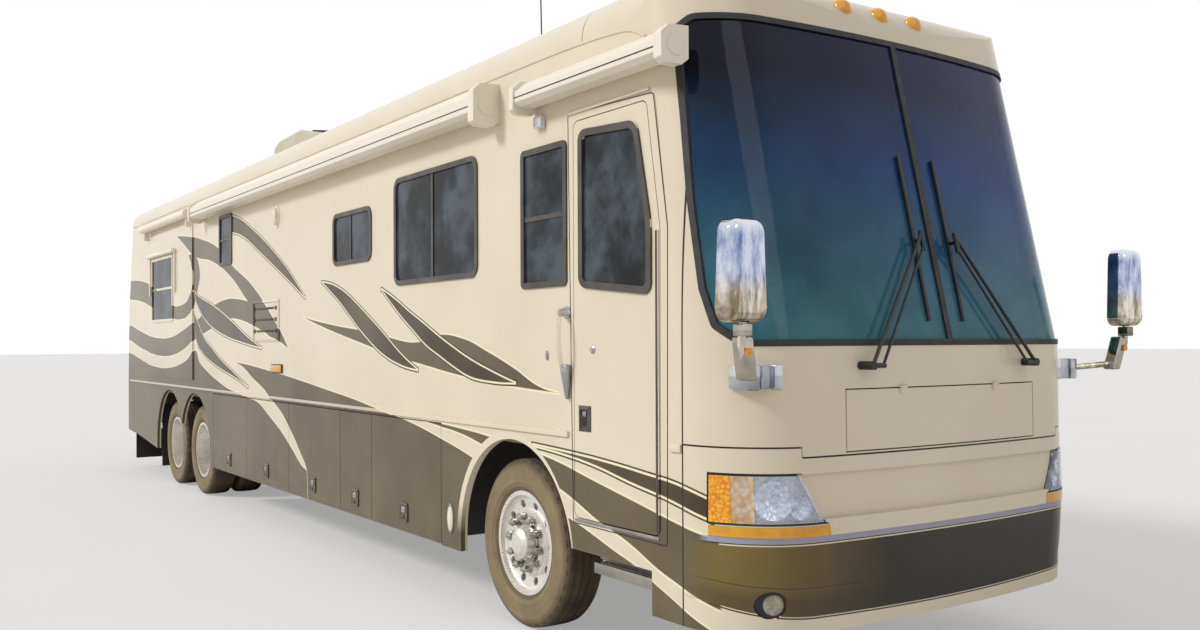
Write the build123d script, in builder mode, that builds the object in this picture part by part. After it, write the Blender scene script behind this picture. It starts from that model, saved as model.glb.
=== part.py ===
"""Motorhome: a long rear-engined touring coach with a tag axle.

Millimetres. +X is the direction of travel, +Y the driver's side, +Z up.
The origin is on the ground, midway along the coach and on its centreline.
Places along the coach are given from the front axle, forwards positive.
"""
from build123d import *
from functools import lru_cache
import math
import os

os.makedirs("parts", exist_ok=True)

# Axles and wheels
front_axle_x = 4200
wheelbase = 6940
tag_spacing = 1140
wheel_r = 492
wheel_y = 1060
drive_wheel_y = 1070
twin_spacing = 330
tyre_width = 276
rim_r = 286
rim_width = 208
flange_r = 303
flange_thickness = 12

# Body shell
half_width = 1280
skirt_z = 360
belt_z = 1190
cowl_z = 1660
eave_z = 3430
crown_z = 3465
roof_split_z = 3225
wall = 45
roof_r = 200
brow_r = 330
tail_brow_r = 260
nose_face_r = 8400
nose_corner_r = 450
tail_face_r = 12000
tail_corner_r = 180
top_z = 3500
tail_seam_line = [
    (-10090, 490),
    (-10150, 560),
    (-10211, 660),
    (-10237, 1180),
    (-10221, 1590),
    (-10132, 2326),
    (-10018, 3180),
    (-9950, 3700),
]
cap_seam = 1600
cap_seam_z, cap_step_y, cap_side_seam_z = 1150, 955, 1195
groove_width, groove_depth = 5, 9
roof_seam = 790

# Clearances
fit = 0.3
seam = 6
slide_gap = 12

# Chassis
rail_top_z = 1080
rail_height = 204
rail_y = 430
rail_width = 70
rail_wall = 10
rail_rear = -10280
rail_front = 1700
floor_top_z = 1180
pan_z = 400
pan_thickness = 25
bulkhead = 30

# Doors along the skirt
bay_head_z = 1141
bay_seams = [-6184, -5046, -3823, -2619, -2006, -870]
left_bay_seams = [-6184, -5046, -3823, -2619, -870]
latch_z = 500

# Wheel openings: centre from the front axle, centre height, radius
arch_z = 470
front_arch = (38, arch_z, 635)
drive_arch = (-wheelbase, arch_z + 25, 625)
tag_arch = (-wheelbase - tag_spacing, arch_z + 25, 625)

# Levels of the body's plan outline: height, nose, tail
body_levels = [
    (skirt_z, 2085, -10584),
    (800, 2115, -10588),
    (belt_z, 2100, -10588),
    (cowl_z, 2095, -10565),
    (2300, 1948, -10488),
    (top_z, 1671, -10215),
]

# Windows of the right wall: name, rear edge, front edge, sill, head, corner radius, bar kind, bar place
right_windows = [
    ("narrow", -5945, -5495, 2457, 2972, 35, "rail", 2718),
    ("galley", -2750, -1985, 2265, 2672, 80, "upright", -2392),
    ("saloon", -1580, -358, 2060, 2806, 80, "upright", -985),
    ("cab", 163, 638, 1962, 2742, 35, "rail", 2350),
]
left_windows = right_windows[:3] + [
    ("bedroom", -8970, -7900, 1930, 2718, 35, "rail", 2330),
    ("driver", 560, 1370, 1930, 2742, 35, "upright", 960),
]
slide_window = ("bedroom", -8915, -7845, 1930, 2718, 35, "rail", 2330)
frame_lip = 20
frame_band = 34
frame_proud = 10
bar_width = 26
pane = 6
pane_depth = 20

# Entry door, on the right
door_outline = [(700, 746), (1430, 746), (1436, 2203), (1333, 2820), (700, 2820)]
door_corner_r = 40
door_pane_outline = [(757, 1950), (1374, 1888), (1376, 2227), (1265, 2738), (757, 2769)]
step_notch = (560, 1365, 573)

# Bedroom slide-out, on the right
slide_rear = -9135
slide_front = -7010
slide_low_z = 1285
slide_high_z = 2990
slide_depth = 560
slide_wall = 40
slide_lip = 22
lip_thickness = 12


def ahead(distance):
    """Place along X of a point so far ahead of the front axle."""
    return front_axle_x + distance


def end_curve(face_x, away, face_r, corner_r, half):
    """Points of half an end's plan outline: side, corner middle, face edge and face middle."""
    reach = math.sqrt((face_r - corner_r) ** 2 - (half - corner_r) ** 2)
    centre_x = face_x - away * face_r
    corner_x = centre_x + away * reach
    corner_y = half - corner_r
    turn = math.atan2(corner_y, reach)
    middle = (turn + math.pi / 2) / 2
    return [
        (corner_x, half),
        (corner_x + away * corner_r * math.cos(middle), corner_y + corner_r * math.sin(middle)),
        (centre_x + away * face_r * math.cos(turn), face_r * math.sin(turn)),
        (face_x, 0),
    ]


def across(point):
    """The same plan point on the other side of the centreline."""
    return (point[0], -point[1])


def above_roof(inset):
    """What lies outside the roof's arched cross-section."""
    half = half_width - inset
    eave = eave_z - inset
    far = half_width + 300
    with BuildPart() as cutter:
        with BuildSketch(Plane.YZ.offset(ahead(-10800))) as section:
            with BuildLine():
                Polyline((half, 300), (far, 300), (far, 3900), (-far, 3900), (-far, 300), (-half, 300))
                Line((-half, 300), (-half, eave))
                ThreePointArc((-half, eave), (0, crown_z - inset), (half, eave))
                Line((half, eave), (half, 300))
            make_face()
            fillet([v for v in section.vertices() if abs(v.Y - eave) < 1], roof_r - inset)
        extrude(amount=13200)
    return cutter.part


def beyond_brows(inset):
    """What lies outside the rounded brows over the windscreen and the tail."""
    upper, top = body_levels[-2], body_levels[-1]
    rise = top[0] - upper[0]
    nose_lean = (upper[1] - top[1]) / rise
    tail_lean = (upper[2] - top[2]) / rise
    clear = 6
    crown = crown_z - inset + 4
    low = 2400
    nose_x = ahead(top[1]) - inset + clear
    tail_x = ahead(top[2]) + inset - clear
    with BuildPart() as cutter:
        with BuildSketch(Plane.XZ.offset(-half_width - 200)) as profile:
            with BuildLine():
                Polyline(
                    (tail_x + tail_lean * (top_z - crown), crown),
                    (nose_x + nose_lean * (top_z - crown), crown),
                    (nose_x + nose_lean * (top_z - low), low),
                    (7400, low),
                    (7400, 3900),
                    (-7400, 3900),
                    (-7400, low),
                    (tail_x + tail_lean * (top_z - low), low),
                    close=True,
                )
            make_face()
            front_corner = [v for v in profile.vertices() if abs(v.Y - crown) < 1 and v.X > 0]
            fillet(front_corner, brow_r - inset)
            rear_corner = [v for v in profile.vertices() if abs(v.Y - crown) < 1 and v.X < -4000]
            fillet(rear_corner, tail_brow_r - inset)
        extrude(amount=2 * half_width + 400)
    return cutter.part


@lru_cache(maxsize=None)
def coach_form(inset):
    """The whole body as one solid, its surface moved inwards by inset."""
    half = half_width - inset
    roof_cutter = above_roof(inset)
    brow_cutter = beyond_brows(inset)
    with BuildPart() as form:
        for z, nose, tail in body_levels:
            level = skirt_z - max(inset, 0) if z == skirt_z else z
            n = end_curve(ahead(nose) - inset, 1, nose_face_r - inset, nose_corner_r - inset, half)
            t = end_curve(ahead(tail) + inset, -1, tail_face_r - inset, tail_corner_r - inset, half)
            with BuildSketch(Plane.XY.offset(level)):
                with BuildLine():
                    Line(across(t[0]), across(n[0]))
                    ThreePointArc(across(n[0]), across(n[1]), across(n[2]))
                    ThreePointArc(across(n[2]), n[3], n[2])
                    ThreePointArc(n[2], n[1], n[0])
                    Line(n[0], t[0])
                    ThreePointArc(t[0], t[1], t[2])
                    ThreePointArc(t[2], t[3], across(t[2]))
                    ThreePointArc(across(t[2]), across(t[1]), across(t[0]))
                make_face()
        loft(ruled=True)
        add(roof_cutter, mode=Mode.SUBTRACT)
        add(brow_cutter, mode=Mode.SUBTRACT)
    return form.part


def side_prism(points, y_low, y_high):
    """A prism across the coach over a side-view outline of (distance ahead, height) points."""
    with BuildPart() as prism:
        with BuildSketch(Plane.XZ.offset(-y_high)):
            with BuildLine():
                Polyline(*[(ahead(x), z) for x, z in points], close=True)
            make_face()
        extrude(amount=y_high - y_low)
    return prism.part


def rounded_side_prism(points, radius, y_low, y_high, grow=0):
    """The same with its corners rounded, and grown all round by grow."""
    with BuildPart() as prism:
        with BuildSketch(Plane.XZ.offset(-y_high)) as outline:
            with BuildLine():
                Polyline(*[(ahead(x), z) for x, z in points], close=True)
            make_face()
            fillet(outline.vertices(), radius)
            if grow:
                offset(amount=grow)
        extrude(amount=y_high - y_low)
    return prism.part


def front_prism(points, x_low, x_high):
    """A prism along the coach over a front-view outline of (y, height) points."""
    with BuildPart() as prism:
        with BuildSketch(Plane.YZ.offset(ahead(x_low))):
            with BuildLine():
                Polyline(*points, close=True)
            make_face()
        extrude(amount=x_high - x_low)
    return prism.part


def rectangle(low_u, low_v, high_u, high_v):
    """Corners of an upright rectangle."""
    return [(low_u, low_v), (high_u, low_v), (high_u, high_v), (low_u, high_v)]


def block(x_low, x_high, y_low, y_high, z_low, z_high):
    """A box between given places."""
    return side_prism(rectangle(x_low, z_low, x_high, z_high), y_low, y_high)


def arch_prism(arch, side):
    """A wheel opening through one side of the skirt."""
    centre_x, centre_z, radius = arch
    y_low, y_high = side_span(side, half_width - 300, half_width + 60)
    with BuildPart() as prism:
        with BuildSketch(Plane.XZ.offset(-y_high)):
            with Locations((ahead(centre_x), centre_z)):
                Circle(radius)
            with Locations((ahead(centre_x), centre_z - radius)):
                Rectangle(2 * radius, 2 * radius)
        extrude(amount=y_high - y_low)
    return prism.part


def side_span(side, near, far):
    """The low and high y of a span between two distances from the centreline."""
    return (near, far) if side > 0 else (-far, -near)


def window_corners(window, inset):
    """Low and high corners of a window's outline, moved inwards by inset."""
    name, rear, front, sill, head, radius, bar_kind, bar_place = window
    return rear + inset, sill + inset, front - inset, head - inset


def window_prism(window, inset, y_low, y_high):
    """A prism through a wall over a window's outline."""
    low_x, low_z, high_x, high_z = window_corners(window, inset)
    radius = max(window[5] - inset, 4)
    return rounded_side_prism(rectangle(low_x, low_z, high_x, high_z), radius, y_low, y_high)


def window_bar(window, side, near, far):
    """The bar across a window's opening."""
    low_x, low_z, high_x, high_z = window_corners(window, frame_band - 2)
    kind, place = window[6], window[7]
    half = bar_width / 2
    y_low, y_high = side_span(side, near, far)
    if kind == "rail":
        return block(low_x, high_x, y_low, y_high, place - half, place + half)
    return block(place - half, place + half, y_low, y_high, low_z, high_z)


def seam_between(low_z, high_z):
    """The tail moulding's seam from one height up to another, in side view."""
    points = []
    for (x_a, z_a), (x_b, z_b) in zip(tail_seam_line[:-1], tail_seam_line[1:]):
        for z in (low_z, high_z):
            if z_a <= z < z_b:
                points.append((x_a + (x_b - x_a) * (z - z_a) / (z_b - z_a), z))
        if low_z < z_b < high_z:
            points.append((x_b, z_b))
    if high_z >= tail_seam_line[-1][1]:
        points.append(tail_seam_line[-1])
    return sorted(points, key=lambda point: point[1])


coach = coach_form(0)
cabin_space = coach_form(wall)
whole_width = (-half_width - 100, half_width + 100)

# Side view of the nose moulding, behind which the walls and the roof begin
nose_outline = [
    (cap_seam, cap_seam_z),
    (cap_seam, 1716),
    (1545, 2198),
    (1430, 2750),
    (1400, 2890),
    (760, 2890),
    (760, roof_split_z),
    (roof_seam, roof_split_z),
    (roof_seam, 3700),
    (2500, 3700),
    (2500, cap_seam_z),
]
wall_outline = [
    (cap_seam, belt_z),
    (cap_seam, 1716),
    (1545, 2198),
    (1430, 2750),
    (1400, 2890),
    (760, 2890),
    (760, roof_split_z),
] + seam_between(belt_z, roof_split_z)[::-1]
skirt_outline = [
    (-9902, tail_seam_line[0][1]),
    (-9217, 428),
    (-8460, skirt_z - 5),
    (-8400, skirt_z - 100),
    (cap_seam, skirt_z - 100),
    (cap_seam, belt_z),
] + seam_between(tail_seam_line[0][1], belt_z)[::-1]
tail_rear = -10700
tail_outline = [(tail_rear, 3700), (tail_rear, 760), (-10570, 620), (-10470, 520)]
tail_outline += seam_between(tail_seam_line[0][1], 3700)

# Windscreen opening in side view: it wraps round both corners
screen_outline = [
    (2400, 1640),
    (1890, 1640),
    (1765, 1725),
    (1692, 1900),
    (1607, 2313),
    (1548, 2693),
    (1498, 2984),
    (1466, 3140),
    (1540, 3205),
    (2400, 3205),
]
screen_corner_r = 60
screen_opening = rounded_side_prism(screen_outline, screen_corner_r, *whole_width)
screen_band = 30
screen_bar = 18

# Lid in the nose, over the service compartment
lid_half = 710
lid_low_z = 1157
lid_high_z = 1446
lid_thickness = 30

# Rear engine lid
engine_lid_half = 760
engine_lid_low_z = 720
engine_lid_high_z = 1690

# Lamps
lamp_depth = 55
headlamp_edge = [(815, 797), (826, 850), (858, 862), (970, 1066), (1400, 1066), (1400, 797)]
headlamp_rear = 1758
fog_y, fog_z, fog_r = 1082, 497, 62
nose_recess = [(880, 868), (985, 1074), (-985, 1074), (-880, 868)]
recess_depth = 32
tail_lamp = (930, 1330, 1090, 1950)
tail_part_front = -10290


def wall_panel(side, windows, extra_cuts):
    """One side wall, thick as the real sandwich panel, with its openings."""
    y_low, y_high = side_span(side, 0, half_width + 50)
    region = side_prism(wall_outline, y_low, y_high)
    holes = [window_prism(w, frame_lip, *side_span(side, half_width - 120, half_width + 50)) for w in windows]
    with BuildPart() as panel:
        add(coach)
        add(region, mode=Mode.INTERSECT)
        add(cabin_space, mode=Mode.SUBTRACT)
        for cut in holes + extra_cuts:
            add(cut, mode=Mode.SUBTRACT)
    return panel.part


door_opening = rounded_side_prism(door_outline, door_corner_r, *side_span(-1, 1150, 1400), grow=seam)
slide_opening = block(
    slide_rear - slide_gap,
    slide_front + slide_gap,
    *side_span(-1, 1150, 1400),
    slide_low_z - slide_gap,
    slide_high_z + slide_gap,
)

with BuildPart() as wall_right:
    add(wall_panel(-1, right_windows, [door_opening, slide_opening]))
wall_right.part.label = "wall_right"
export_step(wall_right.part, "parts/wall_right.step")

with BuildPart() as wall_left:
    add(wall_panel(1, left_windows, []))
wall_left.part.label = "wall_left"
export_step(wall_left.part, "parts/wall_left.step")

roof_region = side_prism(
    [(roof_seam, roof_split_z), (roof_seam, 3700)] + seam_between(roof_split_z, 3700)[::-1], *whole_width
)
with BuildPart() as roof:
    add(coach)
    add(roof_region, mode=Mode.INTERSECT)
    add(cabin_space, mode=Mode.SUBTRACT)
roof.part.label = "roof"
export_step(roof.part, "parts/roof.step")

nose_region = side_prism(nose_outline, *whole_width)
step_spans = [side_span(side, cap_step_y, half_width + 100) for side in (-1, 1)]
cap_steps = [block(cap_seam - 10, 2500, *span, cap_seam_z - 10, cap_side_seam_z) for span in step_spans]
lid_opening = front_prism(rectangle(-lid_half, lid_low_z, lid_half, lid_high_z), 1700, 2400)
with BuildPart() as front_cap:
    add(coach)
    add(nose_region, mode=Mode.INTERSECT)
    add(cabin_space, mode=Mode.SUBTRACT)
    add(screen_opening, mode=Mode.SUBTRACT)
    add(lid_opening, mode=Mode.SUBTRACT)
    add(door_opening, mode=Mode.SUBTRACT)
    for cap_step in cap_steps:
        add(cap_step, mode=Mode.SUBTRACT)
front_cap.part.label = "front_cap"
export_step(front_cap.part, "parts/front_cap.step")

# Windscreen: two curved panes in a rubber surround with a middle bar
screen_pane_depth = 8
screen_faces = [coach_form(depth) for depth in (-3, screen_pane_depth, 14, 26)]
screen_outer = rounded_side_prism(screen_outline, screen_corner_r, *whole_width, grow=-fit)
screen_inner = rounded_side_prism(screen_outline, screen_corner_r, *whole_width, grow=-screen_band)
screen_panes = rounded_side_prism(screen_outline, screen_corner_r, *whole_width, grow=-screen_band - fit)
middle_bar = block(1300, 2400, -screen_bar, screen_bar, 1600, 3300)
middle_gap = block(1300, 2400, -screen_bar - fit, screen_bar + fit, 1600, 3300)

with BuildPart() as windshield_glass:
    add(screen_faces[1])
    add(screen_panes, mode=Mode.INTERSECT)
    add(screen_faces[2], mode=Mode.SUBTRACT)
    add(middle_gap, mode=Mode.SUBTRACT)
windshield_glass.part.label = "windshield_glass"
export_step(windshield_glass.part, "parts/windshield_glass.step")

with BuildPart() as screen_ring:
    add(screen_faces[0])
    add(screen_outer, mode=Mode.INTERSECT)
    add(screen_faces[3], mode=Mode.SUBTRACT)
    add(screen_inner, mode=Mode.SUBTRACT)
with BuildPart() as screen_post:
    add(screen_faces[0])
    add(screen_outer, mode=Mode.INTERSECT)
    add(screen_faces[3], mode=Mode.SUBTRACT)
    add(middle_bar, mode=Mode.INTERSECT)
with BuildPart() as windshield_seal:
    add(screen_ring.part)
    add(screen_post.part)
windshield_seal.part.label = "windshield_seal"
export_step(windshield_seal.part, "parts/windshield_seal.step")


def nose_lid_part():
    """The lid's panel, with its seam all round."""
    lid_region = front_prism(
        rectangle(-lid_half + seam, lid_low_z + seam, lid_half - seam, lid_high_z - seam), 1700, 2400
    )
    lid_back = coach_form(lid_thickness)
    with BuildPart() as lid:
        add(coach)
        add(lid_region, mode=Mode.INTERSECT)
        add(lid_back, mode=Mode.SUBTRACT)
    return lid.part


lid_hinge_x, lid_hinge_y, lid_hinge_length, lid_hinge_r = 2099, 350, 40, 7.9
# Hinge leaf steps: reach behind the hinge's line, lower and upper edge below it
lid_leaf_steps = [(14, 30, 8), (6, 20, 0)]
with BuildPart() as front_lid:
    add(nose_lid_part())
    for side in (-1, 1):
        half_length = lid_hinge_length / 2
        y_low, y_high = side_span(side, lid_hinge_y - half_length, lid_hinge_y + half_length)
        for reach, low, high in lid_leaf_steps:
            leaf_low, leaf_high = lid_high_z - low, lid_high_z - high
            add(block(lid_hinge_x - reach, lid_hinge_x + 3, y_low, y_high, leaf_low, leaf_high))
        with BuildSketch(Plane.XZ.offset(-y_high)):
            with Locations((ahead(lid_hinge_x), lid_high_z)):
                Circle(lid_hinge_r)
        extrude(amount=lid_hinge_length)
front_lid.part.label = "front_lid"
export_step(front_lid.part, "parts/front_lid.step")

# Lower nose with its lamps
with BuildPart() as bumper_reach:
    add(side_prism(rectangle(cap_seam, skirt_z - 50, 2500, cap_seam_z), *whole_width))
    for span in step_spans:
        add(block(cap_seam, 2500, *span, skirt_z - 50, cap_side_seam_z))
bumper_region = bumper_reach.part
with BuildPart() as strip_back:
    add(cabin_space)
    add(block(cap_seam - 10, 2500, *whole_width, cap_seam_z, cap_side_seam_z + 10), mode=Mode.INTERSECT)
with BuildPart() as seam_groove:
    add(block(cap_seam, 2500, -cap_step_y, cap_step_y, cap_seam_z - groove_width, cap_seam_z + 1))
    for side, span in zip((-1, 1), step_spans):
        riser = side_span(side, cap_step_y, cap_step_y + groove_width)
        add(block(cap_seam, 2500, *riser, cap_seam_z - groove_width, cap_side_seam_z))
        add(block(cap_seam, 2500, *span, cap_side_seam_z - groove_width, cap_side_seam_z + 1))
    add(coach_form(groove_depth), mode=Mode.SUBTRACT)
bumper_back = coach_form(lamp_depth + 20)
recess_floor = coach_form(recess_depth)
recess_region = front_prism(nose_recess, 1700, 2400)
with BuildPart() as recess_cut:
    add(coach_form(-5))
    add(recess_region, mode=Mode.INTERSECT)
    add(recess_floor, mode=Mode.SUBTRACT)

pocket_floor = coach_form(lamp_depth + fit)


def headlamp_region(side, shrink):
    """Front-view outline of one headlamp and the amber strip below it."""
    points = [(side * (y + shrink), z) for y, z in headlamp_edge[:4]]
    points += [(side * y, z) for y, z in headlamp_edge[4:]]
    low = headlamp_edge[0][1]
    high = headlamp_edge[3][1]
    trimmed = [(y, min(max(z, low + shrink), high - shrink)) for y, z in points]
    return front_prism(trimmed, headlamp_rear + shrink, 2400)


pockets = []
for side in (-1, 1):
    with BuildPart() as pocket:
        add(coach_form(-8))
        add(headlamp_region(side, 0), mode=Mode.INTERSECT)
        add(pocket_floor, mode=Mode.SUBTRACT)
    pockets.append(pocket.part)

with BuildPart() as front_bumper:
    add(coach)
    add(bumper_region, mode=Mode.INTERSECT)
    add(bumper_back, mode=Mode.SUBTRACT)
    add(strip_back.part, mode=Mode.SUBTRACT)
    add(recess_cut.part, mode=Mode.SUBTRACT)
    add(seam_groove.part, mode=Mode.SUBTRACT)
    for pocket_part in pockets:
        add(pocket_part, mode=Mode.SUBTRACT)
    with BuildSketch(Plane.YZ.offset(ahead(1700))):
        with Locations((-fog_y, fog_z), (fog_y, fog_z)):
            Circle(fog_r)
    extrude(amount=600, mode=Mode.SUBTRACT)
front_bumper.part.label = "front_bumper"
export_step(front_bumper.part, "parts/front_bumper.step")

lamp_face = coach_form(-4)
lamp_back = coach_form(lamp_depth)
fog_face = coach_form(14)
lamp_solids = []
for side in (-1, 1):
    with BuildPart() as lamp:
        add(lamp_face)
        add(headlamp_region(side, fit), mode=Mode.INTERSECT)
        add(lamp_back, mode=Mode.SUBTRACT)
    lamp_solids.append(lamp.part)
    with BuildPart() as fog_lamp:
        with BuildSketch(Plane.YZ.offset(ahead(1700))):
            with Locations((side * fog_y, fog_z)):
                Circle(fog_r - fit)
        extrude(amount=600)
        add(fog_face, mode=Mode.INTERSECT)
        add(bumper_back, mode=Mode.SUBTRACT)
    lamp_solids.append(fog_lamp.part)
with BuildPart() as headlamps:
    for lamp_solid in lamp_solids:
        add(lamp_solid)
headlamps.part.label = "headlamps"
export_step(headlamps.part, "parts/headlamps.step")

# Tail moulding, with its engine lid and lamps
tail_region = side_prism(tail_outline, *whole_width)
engine_hole = rectangle(-engine_lid_half, engine_lid_low_z, engine_lid_half, engine_lid_high_z)
engine_opening = front_prism(engine_hole, tail_rear, tail_part_front)
tail_lamp_near, tail_lamp_low, tail_lamp_far, tail_lamp_high = tail_lamp
lamp_pocket_floor = coach_form(25)
tail_pockets = []
tail_lamp_solids = []
for side in (-1, 1):
    near, far = side_span(side, tail_lamp_near, tail_lamp_far)
    with BuildPart() as tail_pocket:
        add(coach_form(-8))
        add(
            front_prism(rectangle(near, tail_lamp_low, far, tail_lamp_high), tail_rear, tail_part_front),
            mode=Mode.INTERSECT,
        )
        add(lamp_pocket_floor, mode=Mode.SUBTRACT)
    tail_pockets.append(tail_pocket.part)
    with BuildPart() as tail_lamp_solid:
        add(coach_form(-6))
        lens = rectangle(near + fit, tail_lamp_low + fit, far - fit, tail_lamp_high - fit)
        add(front_prism(lens, tail_rear, tail_part_front), mode=Mode.INTERSECT)
        add(coach_form(25 - fit), mode=Mode.SUBTRACT)
    tail_lamp_solids.append(tail_lamp_solid.part)

with BuildPart() as rear_cap:
    add(coach)
    add(tail_region, mode=Mode.INTERSECT)
    add(cabin_space, mode=Mode.SUBTRACT)
    add(engine_opening, mode=Mode.SUBTRACT)
    for pocket_part in tail_pockets:
        add(pocket_part, mode=Mode.SUBTRACT)
rear_cap.part.label = "rear_cap"
export_step(rear_cap.part, "parts/rear_cap.step")

with BuildPart() as tail_lamps:
    for lamp_solid in tail_lamp_solids:
        add(lamp_solid)
tail_lamps.part.label = "tail_lamps"
export_step(tail_lamps.part, "parts/tail_lamps.step")

engine_lid_region = front_prism(
    rectangle(
        -engine_lid_half + seam, engine_lid_low_z + seam, engine_lid_half - seam, engine_lid_high_z - seam
    ),
    tail_rear,
    tail_part_front,
)
louvre_slots, louvre_pitch, louvre_low_z = 9, 70, 860
louvre_width, louvre_height = 1100, 22
lid_barrel_x, lid_barrel_y, lid_barrel_z, lid_barrel_r, lid_barrel_length = -10564, 350, 1680, 5, 90
with BuildPart() as engine_lid:
    add(coach)
    add(engine_lid_region, mode=Mode.INTERSECT)
    add(cabin_space, mode=Mode.SUBTRACT)
    with BuildSketch(Plane.YZ.offset(ahead(tail_rear))):
        for row in range(louvre_slots):
            with Locations((0, louvre_low_z + row * louvre_pitch)):
                Rectangle(louvre_width, louvre_height)
    extrude(amount=500, mode=Mode.SUBTRACT)
    for side in (-1, 1):
        with BuildSketch(Plane.XZ.offset(-side * (lid_barrel_y - lid_barrel_length / 2))):
            with Locations((ahead(lid_barrel_x), lid_barrel_z)):
                Circle(lid_barrel_r)
        extrude(amount=-side * lid_barrel_length)
engine_lid.part.label = "engine_lid"
export_step(engine_lid.part, "parts/engine_lid.step")


# Skirts: the fixed panels round the wheels, the rail over the bay doors and the belt moulding
belt_mould_low = 1160
belt_mould_high = 1215
belt_mould_proud = 14
belt_mould_rear = -10230
belt_mould_front = 645


def skirt_part(side, seams, cuts):
    """One side's fixed lower panels."""
    region = side_prism(skirt_outline, *side_span(side, 0, half_width + 50))
    bay_gap = block(
        seams[0] - seam / 2, seams[-1] + seam / 2, *side_span(side, half_width - 200, half_width + 50), 100,
        bay_head_z + seam,
    )
    arches = [arch_prism(arch, side) for arch in (front_arch, drive_arch, tag_arch)]
    with BuildPart() as skirt:
        add(coach)
        add(region, mode=Mode.INTERSECT)
        add(cabin_space, mode=Mode.SUBTRACT)
        for cut in [bay_gap] + arches + cuts:
            add(cut, mode=Mode.SUBTRACT)
        mould_span = side_span(side, half_width - 5, half_width + belt_mould_proud)
        add(block(belt_mould_rear, belt_mould_front, *mould_span, belt_mould_low, belt_z))
    return skirt.part


notch_cut = block(step_notch[0], step_notch[1], *side_span(-1, 1150, 1400), 200, step_notch[2])
with BuildPart() as skirts:
    add(skirt_part(-1, bay_seams, [notch_cut, door_opening]))
    add(skirt_part(1, left_bay_seams, []))
skirts.part.label = "skirts"
export_step(skirts.part, "parts/skirts.step")

# Bay doors, hinged under the belt
latch_width, latch_height, latch_recess, latch_rim = 120, 62, 12, 12
bay_hinge_z, bay_hinge_r, bay_hinge_length, bay_hinge_inset = 1138, 4, 80, 160
for side, seams, side_name in ((-1, bay_seams, "right"), (1, left_bay_seams, "left")):
    for number, (rear_x, front_x) in enumerate(zip(seams[:-1], seams[1:]), start=1):
        label = f"bay_door_{side_name}_{number}"
        y_low, y_high = side_span(side, half_width - wall, half_width)
        face = Plane.XZ.offset(half_width) if side < 0 else Plane.XZ.offset(-half_width)
        inward = -latch_recess if side < 0 else latch_recess
        with BuildPart() as bay_door:
            add(block(rear_x + seam / 2, front_x - seam / 2, y_low, y_high, skirt_z, bay_head_z - 1))
            outer_edge = [
                e
                for e in bay_door.edges().filter_by(Axis.X)
                if e.center().Z < skirt_z + 1 and abs(e.center().Y) > half_width - 1
            ]
            fillet(outer_edge, 22)
            with BuildSketch(face):
                with Locations((ahead((rear_x + front_x) / 2), latch_z)):
                    SlotOverall(latch_width, latch_height)
                    SlotOverall(latch_width - 2 * latch_rim, latch_height - 2 * latch_rim, mode=Mode.SUBTRACT)
            extrude(amount=inward, mode=Mode.SUBTRACT)
            with BuildSketch(Plane.YZ.offset(ahead(rear_x + bay_hinge_inset))):
                with Locations((side * half_width, bay_hinge_z)):
                    Circle(bay_hinge_r)
            extrude(amount=bay_hinge_length)
            with BuildSketch(Plane.YZ.offset(ahead(front_x - bay_hinge_inset - bay_hinge_length))):
                with Locations((side * half_width, bay_hinge_z)):
                    Circle(bay_hinge_r)
            extrude(amount=bay_hinge_length)
        bay_door.part.label = label
        export_step(bay_door.part, f"parts/{label}.step")

# Window frames and panes of the fixed walls
frame_solids = []
pane_solids = []


def window_frame(window, side, face_y):
    """An aluminium frame: a lip on the wall's face, a sleeve through it and the bar."""
    near = face_y - wall
    lip = window_prism(window, 0, *side_span(side, face_y + fit, face_y + frame_proud))
    sleeve = window_prism(window, frame_lip + fit, *side_span(side, near, face_y + fit))
    opening = window_prism(window, frame_band, *side_span(side, near - 10, face_y + frame_proud + 10))
    bar = window_bar(window, side, face_y - pane_depth - 16, face_y + 4)
    with BuildPart() as frame:
        add(lip)
        add(sleeve)
        add(opening, mode=Mode.SUBTRACT)
        add(bar)
    return frame.part


def window_pane(window, side, face_y):
    """The panes either side of a frame's bar."""
    outer = face_y - pane_depth
    pane_solid = window_prism(window, frame_band + fit, *side_span(side, outer - pane, outer))
    kind, place = window[6], window[7]
    half = bar_width / 2 + fit
    low_x, low_z, high_x, high_z = window_corners(window, 0)
    span = side_span(side, outer - 3 * pane, outer + 3 * pane)
    if kind == "rail":
        gap = block(low_x, high_x, *span, place - half, place + half)
    else:
        gap = block(place - half, place + half, *span, low_z, high_z)
    with BuildPart() as panes:
        add(pane_solid)
        add(gap, mode=Mode.SUBTRACT)
    return panes.part


for side, windows in ((-1, right_windows), (1, left_windows)):
    for window in windows:
        frame_solids.append(window_frame(window, side, half_width))
        pane_solids.append(window_pane(window, side, half_width))
with BuildPart() as window_frames:
    for solid in frame_solids:
        add(solid)
window_frames.part.label = "window_frames"
export_step(window_frames.part, "parts/window_frames.step")
with BuildPart() as side_glass:
    for solid in pane_solids:
        add(solid)
side_glass.part.label = "side_glass"
export_step(side_glass.part, "parts/side_glass.step")

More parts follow.
